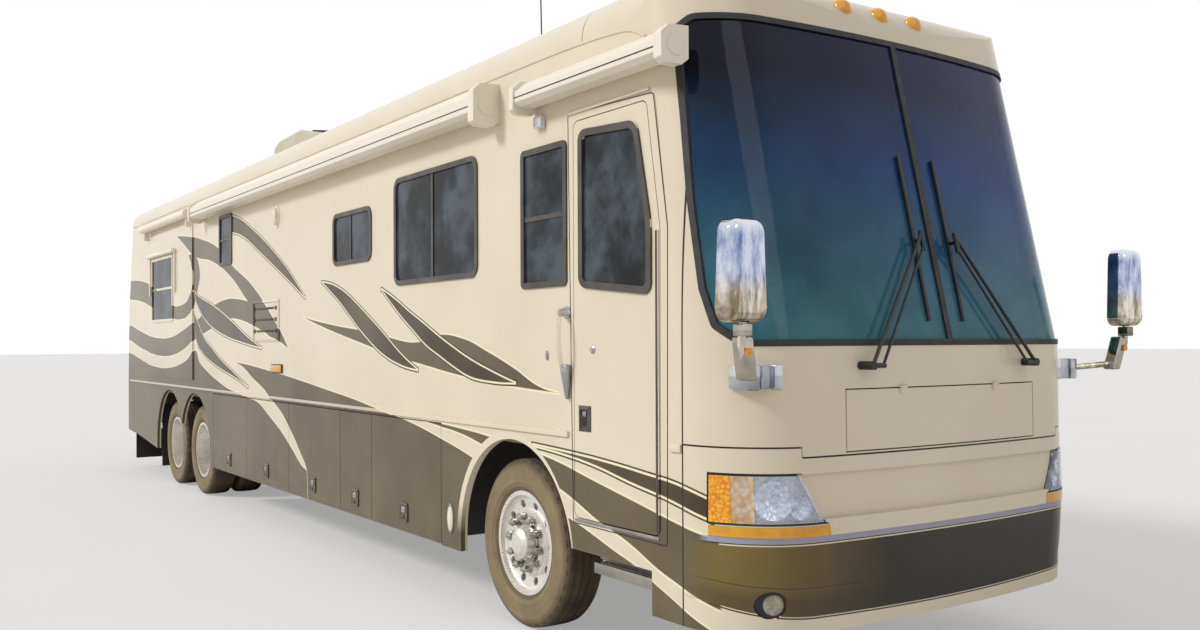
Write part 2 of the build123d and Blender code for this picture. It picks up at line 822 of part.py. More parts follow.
# Entry door
door_faces = side_span(-1, half_width - wall, half_width)
door_through = side_span(-1, half_width - wall - 20, half_width + 40)
door_panel = rounded_side_prism(door_outline, door_corner_r, *door_faces)
door_pane_r = 60
door_frame = rounded_side_prism(
    door_pane_outline, door_pane_r, *side_span(-1, half_width - wall, half_width + frame_proud)
)
door_sight = rounded_side_prism(door_pane_outline, door_pane_r, *door_through, grow=-frame_band)
door_light = rounded_side_prism(
    door_pane_outline,
    door_pane_r,
    *side_span(-1, half_width - pane_depth - pane, half_width - pane_depth),
    grow=-frame_band - fit,
)
handle_x, handle_z, handle_depth = 800, 1265, 14
door_hinge_x, door_hinge_y, door_hinge_r = 1427, 1283, 4
door_hinge_low_z, door_hinge_high_z = 765, 2190
with BuildPart() as entry_door:
    add(door_panel)
    add(door_frame)
    add(door_sight, mode=Mode.SUBTRACT)
    with BuildSketch(Plane.XZ.offset(half_width)):
        with Locations((ahead(handle_x), handle_z)):
            RectangleRounded(110, 130, 14)
            RectangleRounded(76, 60, 10, mode=Mode.SUBTRACT)
    extrude(amount=-handle_depth, mode=Mode.SUBTRACT)
    with BuildSketch(Plane.XY.offset(door_hinge_low_z)):
        with Locations((ahead(door_hinge_x), -door_hinge_y)):
            Circle(door_hinge_r)
    extrude(amount=door_hinge_high_z - door_hinge_low_z)
entry_door.part.label = "entry_door"
export_step(entry_door.part, "parts/entry_door.step")
with BuildPart() as door_glass:
    add(door_light)
door_glass.part.label = "door_glass"
export_step(door_glass.part, "parts/door_glass.step")

# Bedroom slide-out: a lipped outer wall on an open box
slide_face = half_width + fit + lip_thickness
slide_inner = half_width - slide_depth
with BuildPart() as slide_out:
    add(
        block(
            slide_rear - slide_lip, slide_front + slide_lip, *side_span(-1, half_width + fit, slide_face),
            slide_low_z - slide_lip, slide_high_z + slide_lip,
        )
    )
    add(
        block(
            slide_rear, slide_front, *side_span(-1, slide_inner, half_width + fit), slide_low_z, slide_high_z
        )
    )
    room_span = side_span(-1, slide_inner - 50, half_width - wall)
    add(
        block(
            slide_rear + slide_wall, slide_front - slide_wall, *room_span,
            slide_low_z + slide_wall, slide_high_z - slide_wall,
        ),
        mode=Mode.SUBTRACT,
    )
    add(window_prism(slide_window, 0, *side_span(-1, slide_face - wall, slide_face + frame_proud)))
    through = side_span(-1, half_width - 100, half_width + 50)
    add(window_prism(slide_window, frame_band, *through), mode=Mode.SUBTRACT)
    add(window_bar(slide_window, -1, slide_face - pane_depth - 16, slide_face + 4))
slide_out.part.label = "slide_out"
export_step(slide_out.part, "parts/slide_out.step")
with BuildPart() as slide_glass:
    add(window_pane(slide_window, -1, slide_face))
slide_glass.part.label = "slide_glass"
export_step(slide_glass.part, "parts/slide_glass.step")

# Slide topper: an awning roller on two brackets over the slide-out, and a small one over its window
topper_y, topper_z, topper_r = 1348, 3110, 46
topper_rear, topper_front = -9190, -6985
bracket_width, bracket_low_z = 24, 2965
bracket_places = (-9105, -7064)
window_awning_rear, window_awning_front, window_awning_z, window_awning_r = -8990, -7700, 2752, 26
window_arm_places, window_arm_width, window_arm_depth, window_arm_low_z = (-8985, -7745), 36, 22, 2265
with BuildPart() as slide_topper:
    with BuildSketch(Plane.YZ.offset(ahead(topper_rear))):
        with Locations((-topper_y, topper_z)):
            Circle(topper_r)
    extrude(amount=topper_front - topper_rear)
    for bracket_x in bracket_places:
        bracket_y = side_span(-1, slide_face + fit, topper_y)
        add(block(bracket_x, bracket_x + bracket_width, *bracket_y, bracket_low_z, topper_z))
    for arm_x in window_arm_places:
        arm_y = side_span(-1, slide_face + fit, slide_face + window_arm_depth)
        add(block(arm_x, arm_x + window_arm_width, *arm_y, window_arm_low_z, window_awning_z))
    with BuildSketch(Plane.YZ.offset(ahead(window_awning_rear))):
        with Locations((-slide_face - window_awning_r - 2, window_awning_z)):
            Circle(window_awning_r)
    extrude(amount=window_awning_front - window_awning_rear)
slide_topper.part.label = "slide_topper"
export_step(slide_topper.part, "parts/slide_topper.step")

# Awnings on the right wall. Lengths of their cases: rear end, front end, low and high edge, reach, top and
# bottom edges' slope, corner radius. Each awning is a case between two deeper end caps
awning_lengths = [
    [
        (-6540, -6490, 2950, 3180, 172, 60, 24),
        (-6490, -160, 2988, 3172, 162, 70, 22),
        (-160, -92, 2926, 3178, 172, 48, 24),
    ],
    [(298, 340, 2912, 3102, 160, 48, 24), (340, 1600, 2950, 3092, 150, 60, 18), (1600, 1658, 2918, 3100, 158, 46, 24)],
]
with BuildPart() as awnings:
    for lengths in awning_lengths:
        for rear_x, front_x, low_z, high_z, reach, slope, corner_r in lengths:
            near = half_width + fit
            far = half_width + reach
            case_outline = [
                (-near, low_z + 30), (-near, high_z), (-far + slope, high_z - 8), (-far, high_z - slope),
                (-far, low_z + 24), (-far + 30, low_z), (-near - 40, low_z),
            ]
            with BuildSketch(Plane.YZ.offset(ahead(rear_x))) as case_section:
                with BuildLine():
                    Polyline(*case_outline, close=True)
                make_face()
                fillet([v for v in case_section.vertices() if v.X < -near - 45], corner_r / 2)
            extrude(amount=front_x - rear_x)
awnings.part.label = "awnings"
export_step(awnings.part, "parts/awnings.step")

# Chassis: channel rails and crossmembers
rail_bottom_z = rail_top_z - rail_height
rail_inner = rail_y - rail_width / 2
rail_outer = rail_y + rail_width / 2
crossmember_width, crossmember_height = 70, 150
crossmember_places = [-10230, -8600, -7560, -6380, -5046, -3823, -2619, -1500, -300, 600, 1600]
hitch_z = 470
hitch_outer, hitch_bore = 76, 51
hitch_rear = -10540
hitch_pin_r = 8
hitch_pin_from_end = 45
drop_thickness = 14
flap_bar_x, flap_bar_z, flap_bar_size = -8700, 890, 40
flap_outer_y = 1222
with BuildPart() as chassis_frame:
    for side in (-1, 1):
        web_span = side_span(side, rail_outer - rail_wall, rail_outer)
        flange_span = side_span(side, rail_inner, rail_outer)
        add(block(rail_rear, rail_front, *web_span, rail_bottom_z, rail_top_z))
        for flange_z in (rail_bottom_z, rail_top_z - rail_wall):
            add(block(rail_rear, rail_front, *flange_span, flange_z, flange_z + rail_wall))
    flap_bar_high_z = flap_bar_z + flap_bar_size
    add(block(flap_bar_x, flap_bar_x + flap_bar_size, -flap_outer_y, flap_outer_y, flap_bar_z, flap_bar_high_z))
    for place in crossmember_places:
        low = rail_bottom_z + 20
        half_span = rail_outer - rail_wall
        add(
            block(
                place - crossmember_width / 2, place + crossmember_width / 2, -half_span, half_span,
                low, low + crossmember_height,
            )
        )
chassis_frame.part.label = "chassis_frame"
export_step(chassis_frame.part, "parts/chassis_frame.step")

# Hitch receiver: a socket of four plates on a cross tube, hung from the rails by two drop plates
cross_tube_rear = rail_rear + 22
drop_width, drop_y = 120, 422
hitch_low_z, hitch_high_z = hitch_z - hitch_outer / 2, hitch_z + hitch_outer / 2
hitch_front = cross_tube_rear - fit
socket_wall = (hitch_outer - hitch_bore) / 2
with BuildPart() as hitch_carrier:
    for side in (-1, 1):
        drop_span = side_span(side, drop_y, drop_y + drop_thickness)
        add(block(rail_rear, rail_rear + drop_width, *drop_span, hitch_low_z, rail_bottom_z - fit))
    add(block(cross_tube_rear, cross_tube_rear + hitch_outer, -rail_y, rail_y, hitch_low_z, hitch_high_z))
socket_plates = []
for side in (-1, 1):
    with BuildPart() as socket_cheek:
        cheek_span = side_span(side, hitch_bore / 2, hitch_outer / 2)
        add(block(hitch_rear, hitch_front, *cheek_span, hitch_low_z, hitch_high_z))
        with BuildSketch(Plane.XZ.offset(-100)):
            with Locations((ahead(hitch_rear + hitch_pin_from_end), hitch_z)):
                Circle(hitch_pin_r)
        extrude(amount=200, mode=Mode.SUBTRACT)
    socket_plates.append(socket_cheek.part)
for plate_low_z in (hitch_low_z, hitch_high_z - socket_wall):
    plate_half = hitch_bore / 2 - fit
    socket_plates.append(
        block(hitch_rear, hitch_front, -plate_half, plate_half, plate_low_z, plate_low_z + socket_wall)
    )
with BuildPart() as hitch_receiver:
    add(hitch_carrier.part)
    for plate in socket_plates:
        add(plate)
hitch_receiver.part.label = "hitch_receiver"
export_step(hitch_receiver.part, "parts/hitch_receiver.step")

# House floor, open over the entry stairwell
stair_rear, stair_front = door_outline[0][0], 1428
stair_sheet = 25
stair_inner = 600
stair_rises = [745, 890, 1035]
stair_runs = [half_width - wall - 4, 1020, 810, stair_inner]
floor_low_z = rail_top_z + fit
stair_margin = stair_sheet + fit
stairwell_cut = block(
    stair_rear - stair_margin, stair_front + stair_margin, -half_width, -stair_inner, 700, floor_top_z + 10
)
stair_bottom = [
    (-stair_runs[0], stair_rises[0]),
    (-stair_runs[1], stair_rises[0]),
    (-stair_runs[1], stair_rises[1]),
    (-stair_runs[2], stair_rises[1]),
    (-stair_runs[2], stair_rises[2]),
    (-stair_runs[3], stair_rises[2]),
    (-stair_runs[3], floor_low_z - fit),
    (-stair_runs[3] + stair_sheet, floor_low_z - fit),
    (-stair_runs[3] + stair_sheet, stair_rises[2] - stair_sheet),
    (-stair_runs[2] + stair_sheet, stair_rises[2] - stair_sheet),
    (-stair_runs[2] + stair_sheet, stair_rises[1] - stair_sheet),
    (-stair_runs[1] + stair_sheet, stair_rises[1] - stair_sheet),
    (-stair_runs[1] + stair_sheet, stair_rises[0] - stair_sheet),
    (-stair_runs[0], stair_rises[0] - stair_sheet),
]
stairs = front_prism(stair_bottom, stair_rear - stair_sheet, stair_front + stair_sheet)
with BuildPart() as bumper_band:
    add(bumper_region)
    add(bumper_back, mode=Mode.SUBTRACT)
with BuildPart() as floor:
    add(cabin_space)
    add(block(tail_rear, 2500, *whole_width, floor_low_z, floor_top_z), mode=Mode.INTERSECT)
    add(bumper_band.part, mode=Mode.SUBTRACT)
    add(stairwell_cut, mode=Mode.SUBTRACT)
floor.part.label = "floor"
export_step(floor.part, "parts/floor.step")

# Stairwell inside the entry door: steps between two cheeks
with BuildPart() as stairwell:
    add(stairs)
    cheek_low_z = stair_rises[0] - stair_sheet
    for cheek_x in (stair_rear - stair_sheet, stair_front):
        add(block(cheek_x, cheek_x + stair_sheet, -stair_runs[0], -stair_inner - fit, cheek_low_z, floor_top_z))
stairwell.part.label = "stairwell"
export_step(stairwell.part, "parts/stairwell.step")

# Basement: the bays' pan and bulkheads, hung between the rails and the floor
bay_rear, bay_front = bay_seams[0], bay_seams[-1]
pan_half = half_width - wall - 5
with BuildPart() as basement:
    add(block(bay_rear, bay_front, -pan_half, pan_half, pan_z, pan_z + pan_thickness))
    bulkhead_places = [bay_rear] + [place - bulkhead / 2 for place in bay_seams[1:-1]] + [bay_front - bulkhead]
    for low_x in bulkhead_places:
        add(block(low_x, low_x + bulkhead, -pan_half, pan_half, pan_z, rail_top_z))
    for side in (-1, 1):
        add(
            block(
                bay_rear - 50, bay_front + 50, *side_span(side, rail_inner - fit, rail_outer + fit),
                rail_bottom_z - fit, rail_top_z + 50,
            ),
            mode=Mode.SUBTRACT,
        )
    member_low_z = rail_bottom_z + 20 - fit
    add(
        block(bay_rear - 50, bay_front + 50, -rail_inner - 5, rail_inner + 5, member_low_z, rail_top_z + 50),
        mode=Mode.SUBTRACT,
    )
basement.part.label = "basement"
export_step(basement.part, "parts/basement.step")

# Engine, one block on the rails' inner faces
engine_rear, engine_front = -10170, -8900
engine_half = rail_inner - fit
with BuildPart() as engine_block:
    add(block(engine_rear, engine_front, -engine_half, engine_half, 520, rail_bottom_z + 18))
engine_block.part.label = "engine_block"
export_step(engine_block.part, "parts/engine_block.step")

# Rock guard across the tail and the flaps behind the tag wheels
guard_half, guard_low_z, guard_high_z, guard_thickness = 1200, 120, 505, 12
flap_inner_y, flap_low_z, flap_thickness = 900, 156, 8
with BuildPart() as rock_guard:
    guard_x = rail_rear - fit - guard_thickness
    add(block(guard_x, guard_x + guard_thickness, -guard_half, guard_half, guard_low_z, guard_high_z))
    receiver_half = hitch_outer / 2 + 3
    add(
        block(
            guard_x - 5, guard_x + guard_thickness + 5, -receiver_half, receiver_half,
            hitch_z - receiver_half, guard_high_z + 5,
        ),
        mode=Mode.SUBTRACT,
    )
    for side in (-1, 1):
        flap_x = flap_bar_x - fit - flap_thickness
        add(
            block(
                flap_x, flap_x + flap_thickness, *side_span(side, flap_inner_y, flap_outer_y),
                flap_low_z, flap_bar_z + 35,
            )
        )
rock_guard.part.label = "rock_guard"
export_step(rock_guard.part, "parts/rock_guard.step")

# Entry step, folded up under the doorway
step_rear, step_front = 751, 1346
step_treads = [(900, 1190, 478, 500), (880, 1150, 546, 568)]
step_hanger = 14
with BuildPart() as entry_step:
    for near_y, far_y, low_z, high_z in step_treads:
        add(block(step_rear, step_front, *side_span(-1, near_y, far_y), low_z, high_z))
    for hanger_x in (step_rear, step_front - step_hanger):
        add(
            block(
                hanger_x, hanger_x + step_hanger, *side_span(-1, 900, 1100), step_treads[0][2],
                stair_rises[0] - stair_sheet - fit,
            )
        )
entry_step.part.label = "entry_step"
export_step(entry_step.part, "parts/entry_step.step")

# Front axle: beam, kingpin eyes and air springs
axle_z = wheel_r
kingpin_y = 930
kingpin_r = 22
eye_r, eye_low_z, eye_high_z = 48, 450, 540
beam_low_z, beam_high_z = 400, 480
beam_half, beam_end_y = 50, 870
upright_half, upright_y, eye_half = 45, (815, 865), 40
spring_y = 430
front_spring_r = 110
with BuildPart() as front_axle:
    add(block(-beam_half, beam_half, -beam_end_y, beam_end_y, beam_low_z, beam_high_z))
    for side in (-1, 1):
        add(block(-upright_half, upright_half, *side_span(side, *upright_y), beam_low_z, eye_high_z))
        add(block(-eye_half, eye_half, *side_span(side, upright_y[1] - 5, kingpin_y), eye_low_z, eye_high_z))
        with BuildSketch(Plane.XY.offset(eye_low_z)):
            with Locations((ahead(0), side * kingpin_y)):
                Circle(eye_r)
        extrude(amount=eye_high_z - eye_low_z)
        with BuildSketch(Plane.XY.offset(beam_high_z - 5)):
            with Locations((ahead(0), side * spring_y)):
                Circle(front_spring_r)
        extrude(amount=rail_bottom_z - fit - beam_high_z + 5)
    with BuildSketch(Plane.XY.offset(eye_low_z - 5)):
        with Locations((ahead(0), -kingpin_y), (ahead(0), kingpin_y)):
            Circle(kingpin_r + fit)
    extrude(amount=eye_high_z - eye_low_z + 10, mode=Mode.SUBTRACT)
front_axle.part.label = "front_axle"
export_step(front_axle.part, "parts/front_axle.step")

# Steering knuckles
pin_low_z, pin_high_z = 405, 585
ear_gap = 1
knuckle_plate_y, hub_face_y = 982, 1009
knuckle_plate_half, ear_half, ear_overhang = 60, 45, 30
spindle_r, spindle_end_y = 35, 1120
arm_reach, arm_half, arm_thickness = 190, 25, 30
for side, side_name in ((-1, "right"), (1, "left")):
    with BuildPart() as knuckle:
        with BuildSketch(Plane.XY.offset(pin_low_z)):
            with Locations((ahead(0), side * kingpin_y)):
                Circle(kingpin_r)
        extrude(amount=pin_high_z - pin_low_z)
        for low_z, high_z in ((pin_low_z, eye_low_z - ear_gap), (eye_high_z + ear_gap, pin_high_z)):
            ear_span = side_span(side, kingpin_y - ear_overhang, hub_face_y)
            add(block(-ear_half, ear_half, *ear_span, low_z, high_z))
        plate_span = side_span(side, knuckle_plate_y, hub_face_y)
        add(block(-knuckle_plate_half, knuckle_plate_half, *plate_span, pin_low_z, pin_high_z))
        arm_span = side_span(side, kingpin_y - arm_half, kingpin_y + arm_half)
        add(block(-arm_reach, 0, *arm_span, pin_high_z - arm_thickness, pin_high_z))
        with BuildSketch(Plane.XZ.offset(-side * (hub_face_y - 5))):
            with Locations((ahead(0), axle_z)):
                Circle(spindle_r)
        extrude(amount=-side * (spindle_end_y - hub_face_y + 5))
    label = f"knuckle_{side_name}"
    knuckle.part.label = label
    export_step(knuckle.part, f"parts/{label}.step")

# Drive axle with its differential and propeller shaft
stub_r, stub_end_y = 60, 1000
tube_r, tube_end_y = 65, 852
bowl_r = 200
drive_x = -wheelbase
drive_spring_r, drive_spring_x = 120, 250
arm_half_length, arm_half_width, arm_low_z, arm_high_z = 372, 50, 390, 440
shaft_r = 45
shaft_front, shaft_rear = (drive_x - 150, 530), (engine_front - fit, 640)


def axle_round(x, radius, far_y):
    """A round bar across the coach on an axle line."""
    with BuildPart() as bar:
        with BuildSketch(Plane.XZ.offset(-far_y)):
            with Locations((ahead(x), axle_z)):
                Circle(radius)
        extrude(amount=2 * far_y)
    return bar.part


with BuildPart() as drive_axle:
    add(axle_round(drive_x, tube_r, tube_end_y))
    add(axle_round(drive_x, stub_r, stub_end_y))
    with Locations((ahead(drive_x), 0, axle_z)):
        Sphere(bowl_r)
    for side in (-1, 1):
        arm_span = side_span(side, spring_y - arm_half_width, spring_y + arm_half_width)
        add(block(drive_x - arm_half_length, drive_x + arm_half_length, *arm_span, arm_low_z, arm_high_z))
        for along in (-drive_spring_x, drive_spring_x):
            with BuildSketch(Plane.XY.offset(arm_high_z - 10)):
                with Locations((ahead(drive_x + along), side * spring_y)):
                    Circle(drive_spring_r)
            extrude(amount=rail_bottom_z - fit - arm_high_z + 10)
    shaft_start = Vector(ahead(shaft_front[0]), 0, shaft_front[1])
    shaft_end = Vector(ahead(shaft_rear[0]), 0, shaft_rear[1])
    with BuildSketch(Plane(origin=shaft_start, z_dir=shaft_end - shaft_start)):
        Circle(shaft_r)
    extrude(amount=(shaft_end - shaft_start).length - 5)
drive_axle.part.label = "drive_axle"
export_step(drive_axle.part, "parts/drive_axle.step")

# Tag axle: a dropped beam that leaves room for the propeller shaft
tag_x = drive_x - tag_spacing
tag_beam_half, tag_beam_end_y, tag_beam_low_z, tag_beam_high_z = 50, 800, 390, 480
tag_end_half, tag_end_y, tag_end_high_z = 60, 760, 560
with BuildPart() as tag_axle:
    add(
        block(
            tag_x - tag_beam_half, tag_x + tag_beam_half, -tag_beam_end_y, tag_beam_end_y,
            tag_beam_low_z, tag_beam_high_z,
        )
    )
    for side in (-1, 1):
        end_span = side_span(side, tag_end_y, tube_end_y)
        add(block(tag_x - tag_end_half, tag_x + tag_end_half, *end_span, tag_beam_low_z, tag_end_high_z))
        with BuildSketch(Plane.XZ.offset(-side * (tube_end_y - 20))):
            with Locations((ahead(tag_x), axle_z)):
                Circle(stub_r)
        extrude(amount=-side * (stub_end_y - tube_end_y + 20))
        with BuildSketch(Plane.XY.offset(tag_beam_high_z - 5)):
            with Locations((ahead(tag_x), side * spring_y)):
                Circle(front_spring_r)
        extrude(amount=rail_bottom_z - fit - tag_beam_high_z + 5)
tag_axle.part.label = "tag_axle"
export_step(tag_axle.part, "parts/tag_axle.step")

# Wheels. Profiles are (distance outboard of the wheel's middle, radius)
barrel_r = 277
half_rim = rim_width / 2
rim_edge = half_rim + flange_thickness
bead_r = rim_r + fit
tyre_profile = [
    (half_rim - fit, bead_r),
    (half_rim - fit, 308),
    (tyre_width / 2, 385),
    (tyre_width / 2 - 10, 462),
    (tyre_width / 2 - 40, wheel_r),
]
tyre_profile += [(-away, r) for away, r in reversed(tyre_profile)]
barrel_outside = [
    (-rim_edge, barrel_r),
    (-rim_edge, flange_r),
    (-half_rim, flange_r),
    (-half_rim, rim_r),
    (half_rim, rim_r),
    (half_rim, flange_r),
    (rim_edge, flange_r),
    (rim_edge, barrel_r),
]
hub_gap = 0.7
hub_start = hub_face_y + hub_gap - wheel_y
bore_end = spindle_end_y + fit - wheel_y
front_rim_profile = (
    [
        (hub_start, spindle_r + fit),
        (hub_start, 105),
        (40, 112),
        (44, 190),
        (56, 262),
        (36, barrel_r),
    ]
    + barrel_outside
    + [
        (92, 272),
        (86, 262),
        (74, 196),
        (92, 188),
        (92, 112),
        (100, 104),
        (150, 88),
        (168, 58),
        (172, 0),
        (bore_end, 0),
        (bore_end, spindle_r + fit),
    ]
)
disc_offset = twin_spacing / 2
disc_thickness = 22
dished_profile = (
    [(-disc_offset, 100), (-disc_offset, 205), (-122, 255), (-96, barrel_r)]
    + barrel_outside
    + [(-62, barrel_r), (-100, 236), (disc_thickness - disc_offset, 195), (disc_thickness - disc_offset, 100)]
)
hub_profile = [
    (tube_end_y + hub_gap, stub_r + fit),
    (tube_end_y + hub_gap, 112),
    (958, 112),
    (975, 100),
    (1068, 90),
    (1082, 60),
    (1086, 0),
    (stub_end_y + fit, 0),
    (stub_end_y + fit, stub_r + fit),
]
hole_count = 10
front_hole_circle_r, front_hole_r = 228, 24
rear_hole_circle_r, rear_hole_r = 228, 26


def turned(profile, x, middle_y, side, mirror=1):
    """A solid of revolution about an axle line; profile distances run outboard from middle_y."""
    with BuildPart() as ring:
        with BuildSketch(Plane.XY.offset(axle_z)):
            with BuildLine():
                places = [(ahead(x) + r, side * (middle_y + mirror * away)) for away, r in profile]
                Polyline(*places, close=True)
            make_face()
        revolve(axis=Axis((ahead(x), 0, axle_z), (0, 1, 0)))
    return ring.part


def hand_holes(x, side, near_y, far_y, circle_r, hole_r):
    """The ring of holes round a wheel's disc."""
    y_low, y_high = side_span(side, near_y, far_y)
    with BuildPart() as holes:
        with BuildSketch(Plane.XZ.offset(-y_high)):
            with Locations((ahead(x), axle_z)):
                with PolarLocations(circle_r, hole_count):
                    Circle(hole_r)
        extrude(amount=y_high - y_low)
    return holes.part


twin_inner_y = drive_wheel_y - twin_spacing
for side, side_name in ((-1, "right"), (1, "left")):
    with BuildPart() as tyre_front:
        add(turned(tyre_profile, 0, wheel_y, side))
    with BuildPart() as rim_front:
        add(turned(front_rim_profile, 0, wheel_y, side))
        add(
            hand_holes(0, side, wheel_y + 38, wheel_y + 100, front_hole_circle_r, front_hole_r),
            mode=Mode.SUBTRACT,
        )
    with BuildPart() as tyres_drive:
        add(turned(tyre_profile, drive_x, drive_wheel_y, side))
        add(turned(tyre_profile, drive_x, twin_inner_y, side))
    with BuildPart() as rims_drive:
        add(turned(dished_profile, drive_x, drive_wheel_y, side))
        add(turned(dished_profile, drive_x, twin_inner_y, side, mirror=-1))
        add(turned(hub_profile, drive_x, 0, side))
        add(
            hand_holes(drive_x, side, twin_inner_y + 50, drive_wheel_y - 50, rear_hole_circle_r, rear_hole_r),
            mode=Mode.SUBTRACT,
        )
    with BuildPart() as tyre_tag:
        add(turned(tyre_profile, tag_x, drive_wheel_y, side))
    with BuildPart() as rim_tag:
        add(turned(dished_profile, tag_x, drive_wheel_y, side))
        add(turned(hub_profile, tag_x, 0, side))
        add(
            hand_holes(tag_x, side, drive_wheel_y - 180, drive_wheel_y - 50, rear_hole_circle_r, rear_hole_r),
            mode=Mode.SUBTRACT,
        )
    wheel_parts = [
        (tyre_front, "tyre_front"),
        (rim_front, "rim_front"),
        (tyres_drive, "tyres_drive"),
        (rims_drive, "rims_drive"),
        (tyre_tag, "tyre_tag"),
        (rim_tag, "rim_tag"),
    ]
    for builder, kind in wheel_parts:
        label = f"{kind}_{side_name}"
        builder.part.label = label
        export_step(builder.part, f"parts/{label}.step")

# Dash with the steering wheel, and the two front seats
dash_rear, dash_front, dash_low_z, dash_high_z = 1500, 2030, floor_top_z + fit, 1590
dash_half = 1120
column_y, column_r = 620, 32
steering_r, steering_tube_r = 230, 16
boss_r, boss_length, spoke_width, spoke_depth = 60, 40, 46, 16
steering_centre = Vector(ahead(1400), column_y, 1600)
column_foot = Vector(ahead(1640), column_y, 1440)
with BuildPart() as dash:
    add(block(dash_rear, dash_front, -dash_half, dash_half, dash_low_z, dash_high_z))
    add(coach_form(wall + 4), mode=Mode.INTERSECT)
    column_axis = steering_centre - column_foot
    with BuildSketch(Plane(origin=column_foot, z_dir=column_axis)):
        Circle(column_r)
    extrude(amount=column_axis.length)
    wheel_plane = Plane(origin=steering_centre, z_dir=column_axis)
    with Locations(wheel_plane):
        Torus(steering_r, steering_tube_r)
        Cylinder(boss_r, boss_length)
        Box(2 * steering_r, spoke_width, spoke_depth)
dash.part.label = "dash"
export_step(dash.part, "parts/dash.step")

# Each seat's rear edge ahead of the front axle, and its middle across the coach
seats_table = [(640, 620), (90, -760)]
seat_width = 500
# Pedestal, cushion, back and headrest: start ahead of the seat's rear edge, length, width, low, high
seat_pieces = [
    (110, 390, 150, 0, 250),
    (0, 560, seat_width, 250, 400),
    (-60, 120, seat_width, 380, 900),
    (-50, 100, 280, 900, 1130),
]
with BuildPart() as seats:
    for seat_x, seat_y in seats_table:
        for piece_x, length, width, low, high in seat_pieces:
            add(
                block(
                    seat_x + piece_x, seat_x + piece_x + length, seat_y - width / 2, seat_y + width / 2,
                    floor_top_z + fit + low, floor_top_z + fit + high,
                )
            )
seats.part.label = "seats"
export_step(seats.part, "parts/seats.step")

# Mirrors on the nose's shoulders
mirror_head_x = 2130
mirror_low_z, mirror_high_z = 1740, 2170
mirror_depth, mirror_width, mirror_top_width = 100, 235, 195
mirror_corner_r, mirror_edge_r, mirror_back_r = 58, 40, 10
mirror_glass_margin, mirror_glass_r, mirror_glass_depth = 20, 40, 6
mirror_arm_r = 17
foot_side_view, foot_corner_r, foot_y = rectangle(1850, 1458, 1980, 1550), 30, (1040, 1215)
# Side, and how far out each mirror's head stands
mirror_table = [(-1, 1385), (1, 1500)]


def rod(start, end, radius):
    """A round bar between two places."""
    with BuildPart() as bar:
        with BuildSketch(Plane(origin=start, z_dir=end - start)):
            Circle(radius)
        extrude(amount=(end - start).length)
    return bar.part


mirror_solids = []
for side, mirror_head_y in mirror_table:
    arm_places = [
        (1915, 1150, 1500),
        (2080, mirror_head_y - 55, 1530),
        (2120, mirror_head_y, 1640),
        (mirror_head_x, mirror_head_y, mirror_low_z + 20),
    ]
    joints = [Vector(ahead(x), side * y, z) for x, y, z in arm_places]
    head_outline = [
        (side * mirror_head_y - mirror_width / 2, mirror_low_z),
        (side * mirror_head_y + mirror_width / 2, mirror_low_z),
        (side * mirror_head_y + mirror_top_width / 2, mirror_high_z),
        (side * mirror_head_y - mirror_top_width / 2, mirror_high_z),
    ]
    with BuildPart() as mirror:
        with BuildSketch(Plane.YZ.offset(ahead(mirror_head_x) - mirror_depth / 2)) as head_face:
            with BuildLine():
                Polyline(*head_outline, close=True)
            make_face()
            fillet(head_face.vertices(), mirror_corner_r)
        extrude(amount=mirror_depth)
        fillet(mirror.faces().sort_by(Axis.X)[-1].edges(), mirror_edge_r)
        fillet(mirror.faces().sort_by(Axis.X)[0].edges(), mirror_back_r)
        with BuildSketch(Plane.YZ.offset(ahead(mirror_head_x) - mirror_depth / 2)):
            with Locations((side * mirror_head_y, (mirror_low_z + mirror_high_z) / 2)):
                glass_height = mirror_high_z - mirror_low_z - 3 * mirror_glass_margin
                RectangleRounded(mirror_top_width - 2 * mirror_glass_margin, glass_height, mirror_glass_r)
        extrude(amount=mirror_glass_depth, mode=Mode.SUBTRACT)
        for start, end in zip(joints[:-1], joints[1:]):
            add(rod(start, end, mirror_arm_r))
        for joint in joints[1:-1]:
            with Locations(joint):
                Sphere(mirror_arm_r)
        add(rounded_side_prism(foot_side_view, foot_corner_r, *side_span(side, *foot_y)))
        add(coach_form(-fit), mode=Mode.SUBTRACT)
    mirror_solids.append(mirror.part)
with BuildPart() as mirrors:
    for solid in mirror_solids:
        add(solid)
mirrors.part.label = "mirrors"
export_step(mirrors.part, "parts/mirrors.step")

# Wipers, parked beside the middle bar
wiper_pivot_y, wiper_pivot_z = 617, 1550
screen_lean = (body_levels[3][1] - body_levels[4][1]) / (body_levels[4][0] - body_levels[3][0])


def off_screen(y, z, out):
    """A place so far ahead of the windscreen's outer surface."""
    nose_x = body_levels[3][1] - (z - body_levels[3][0]) * screen_lean
    return Vector(ahead(nose_x - y * y / (2 * nose_face_r) + out), y, z)


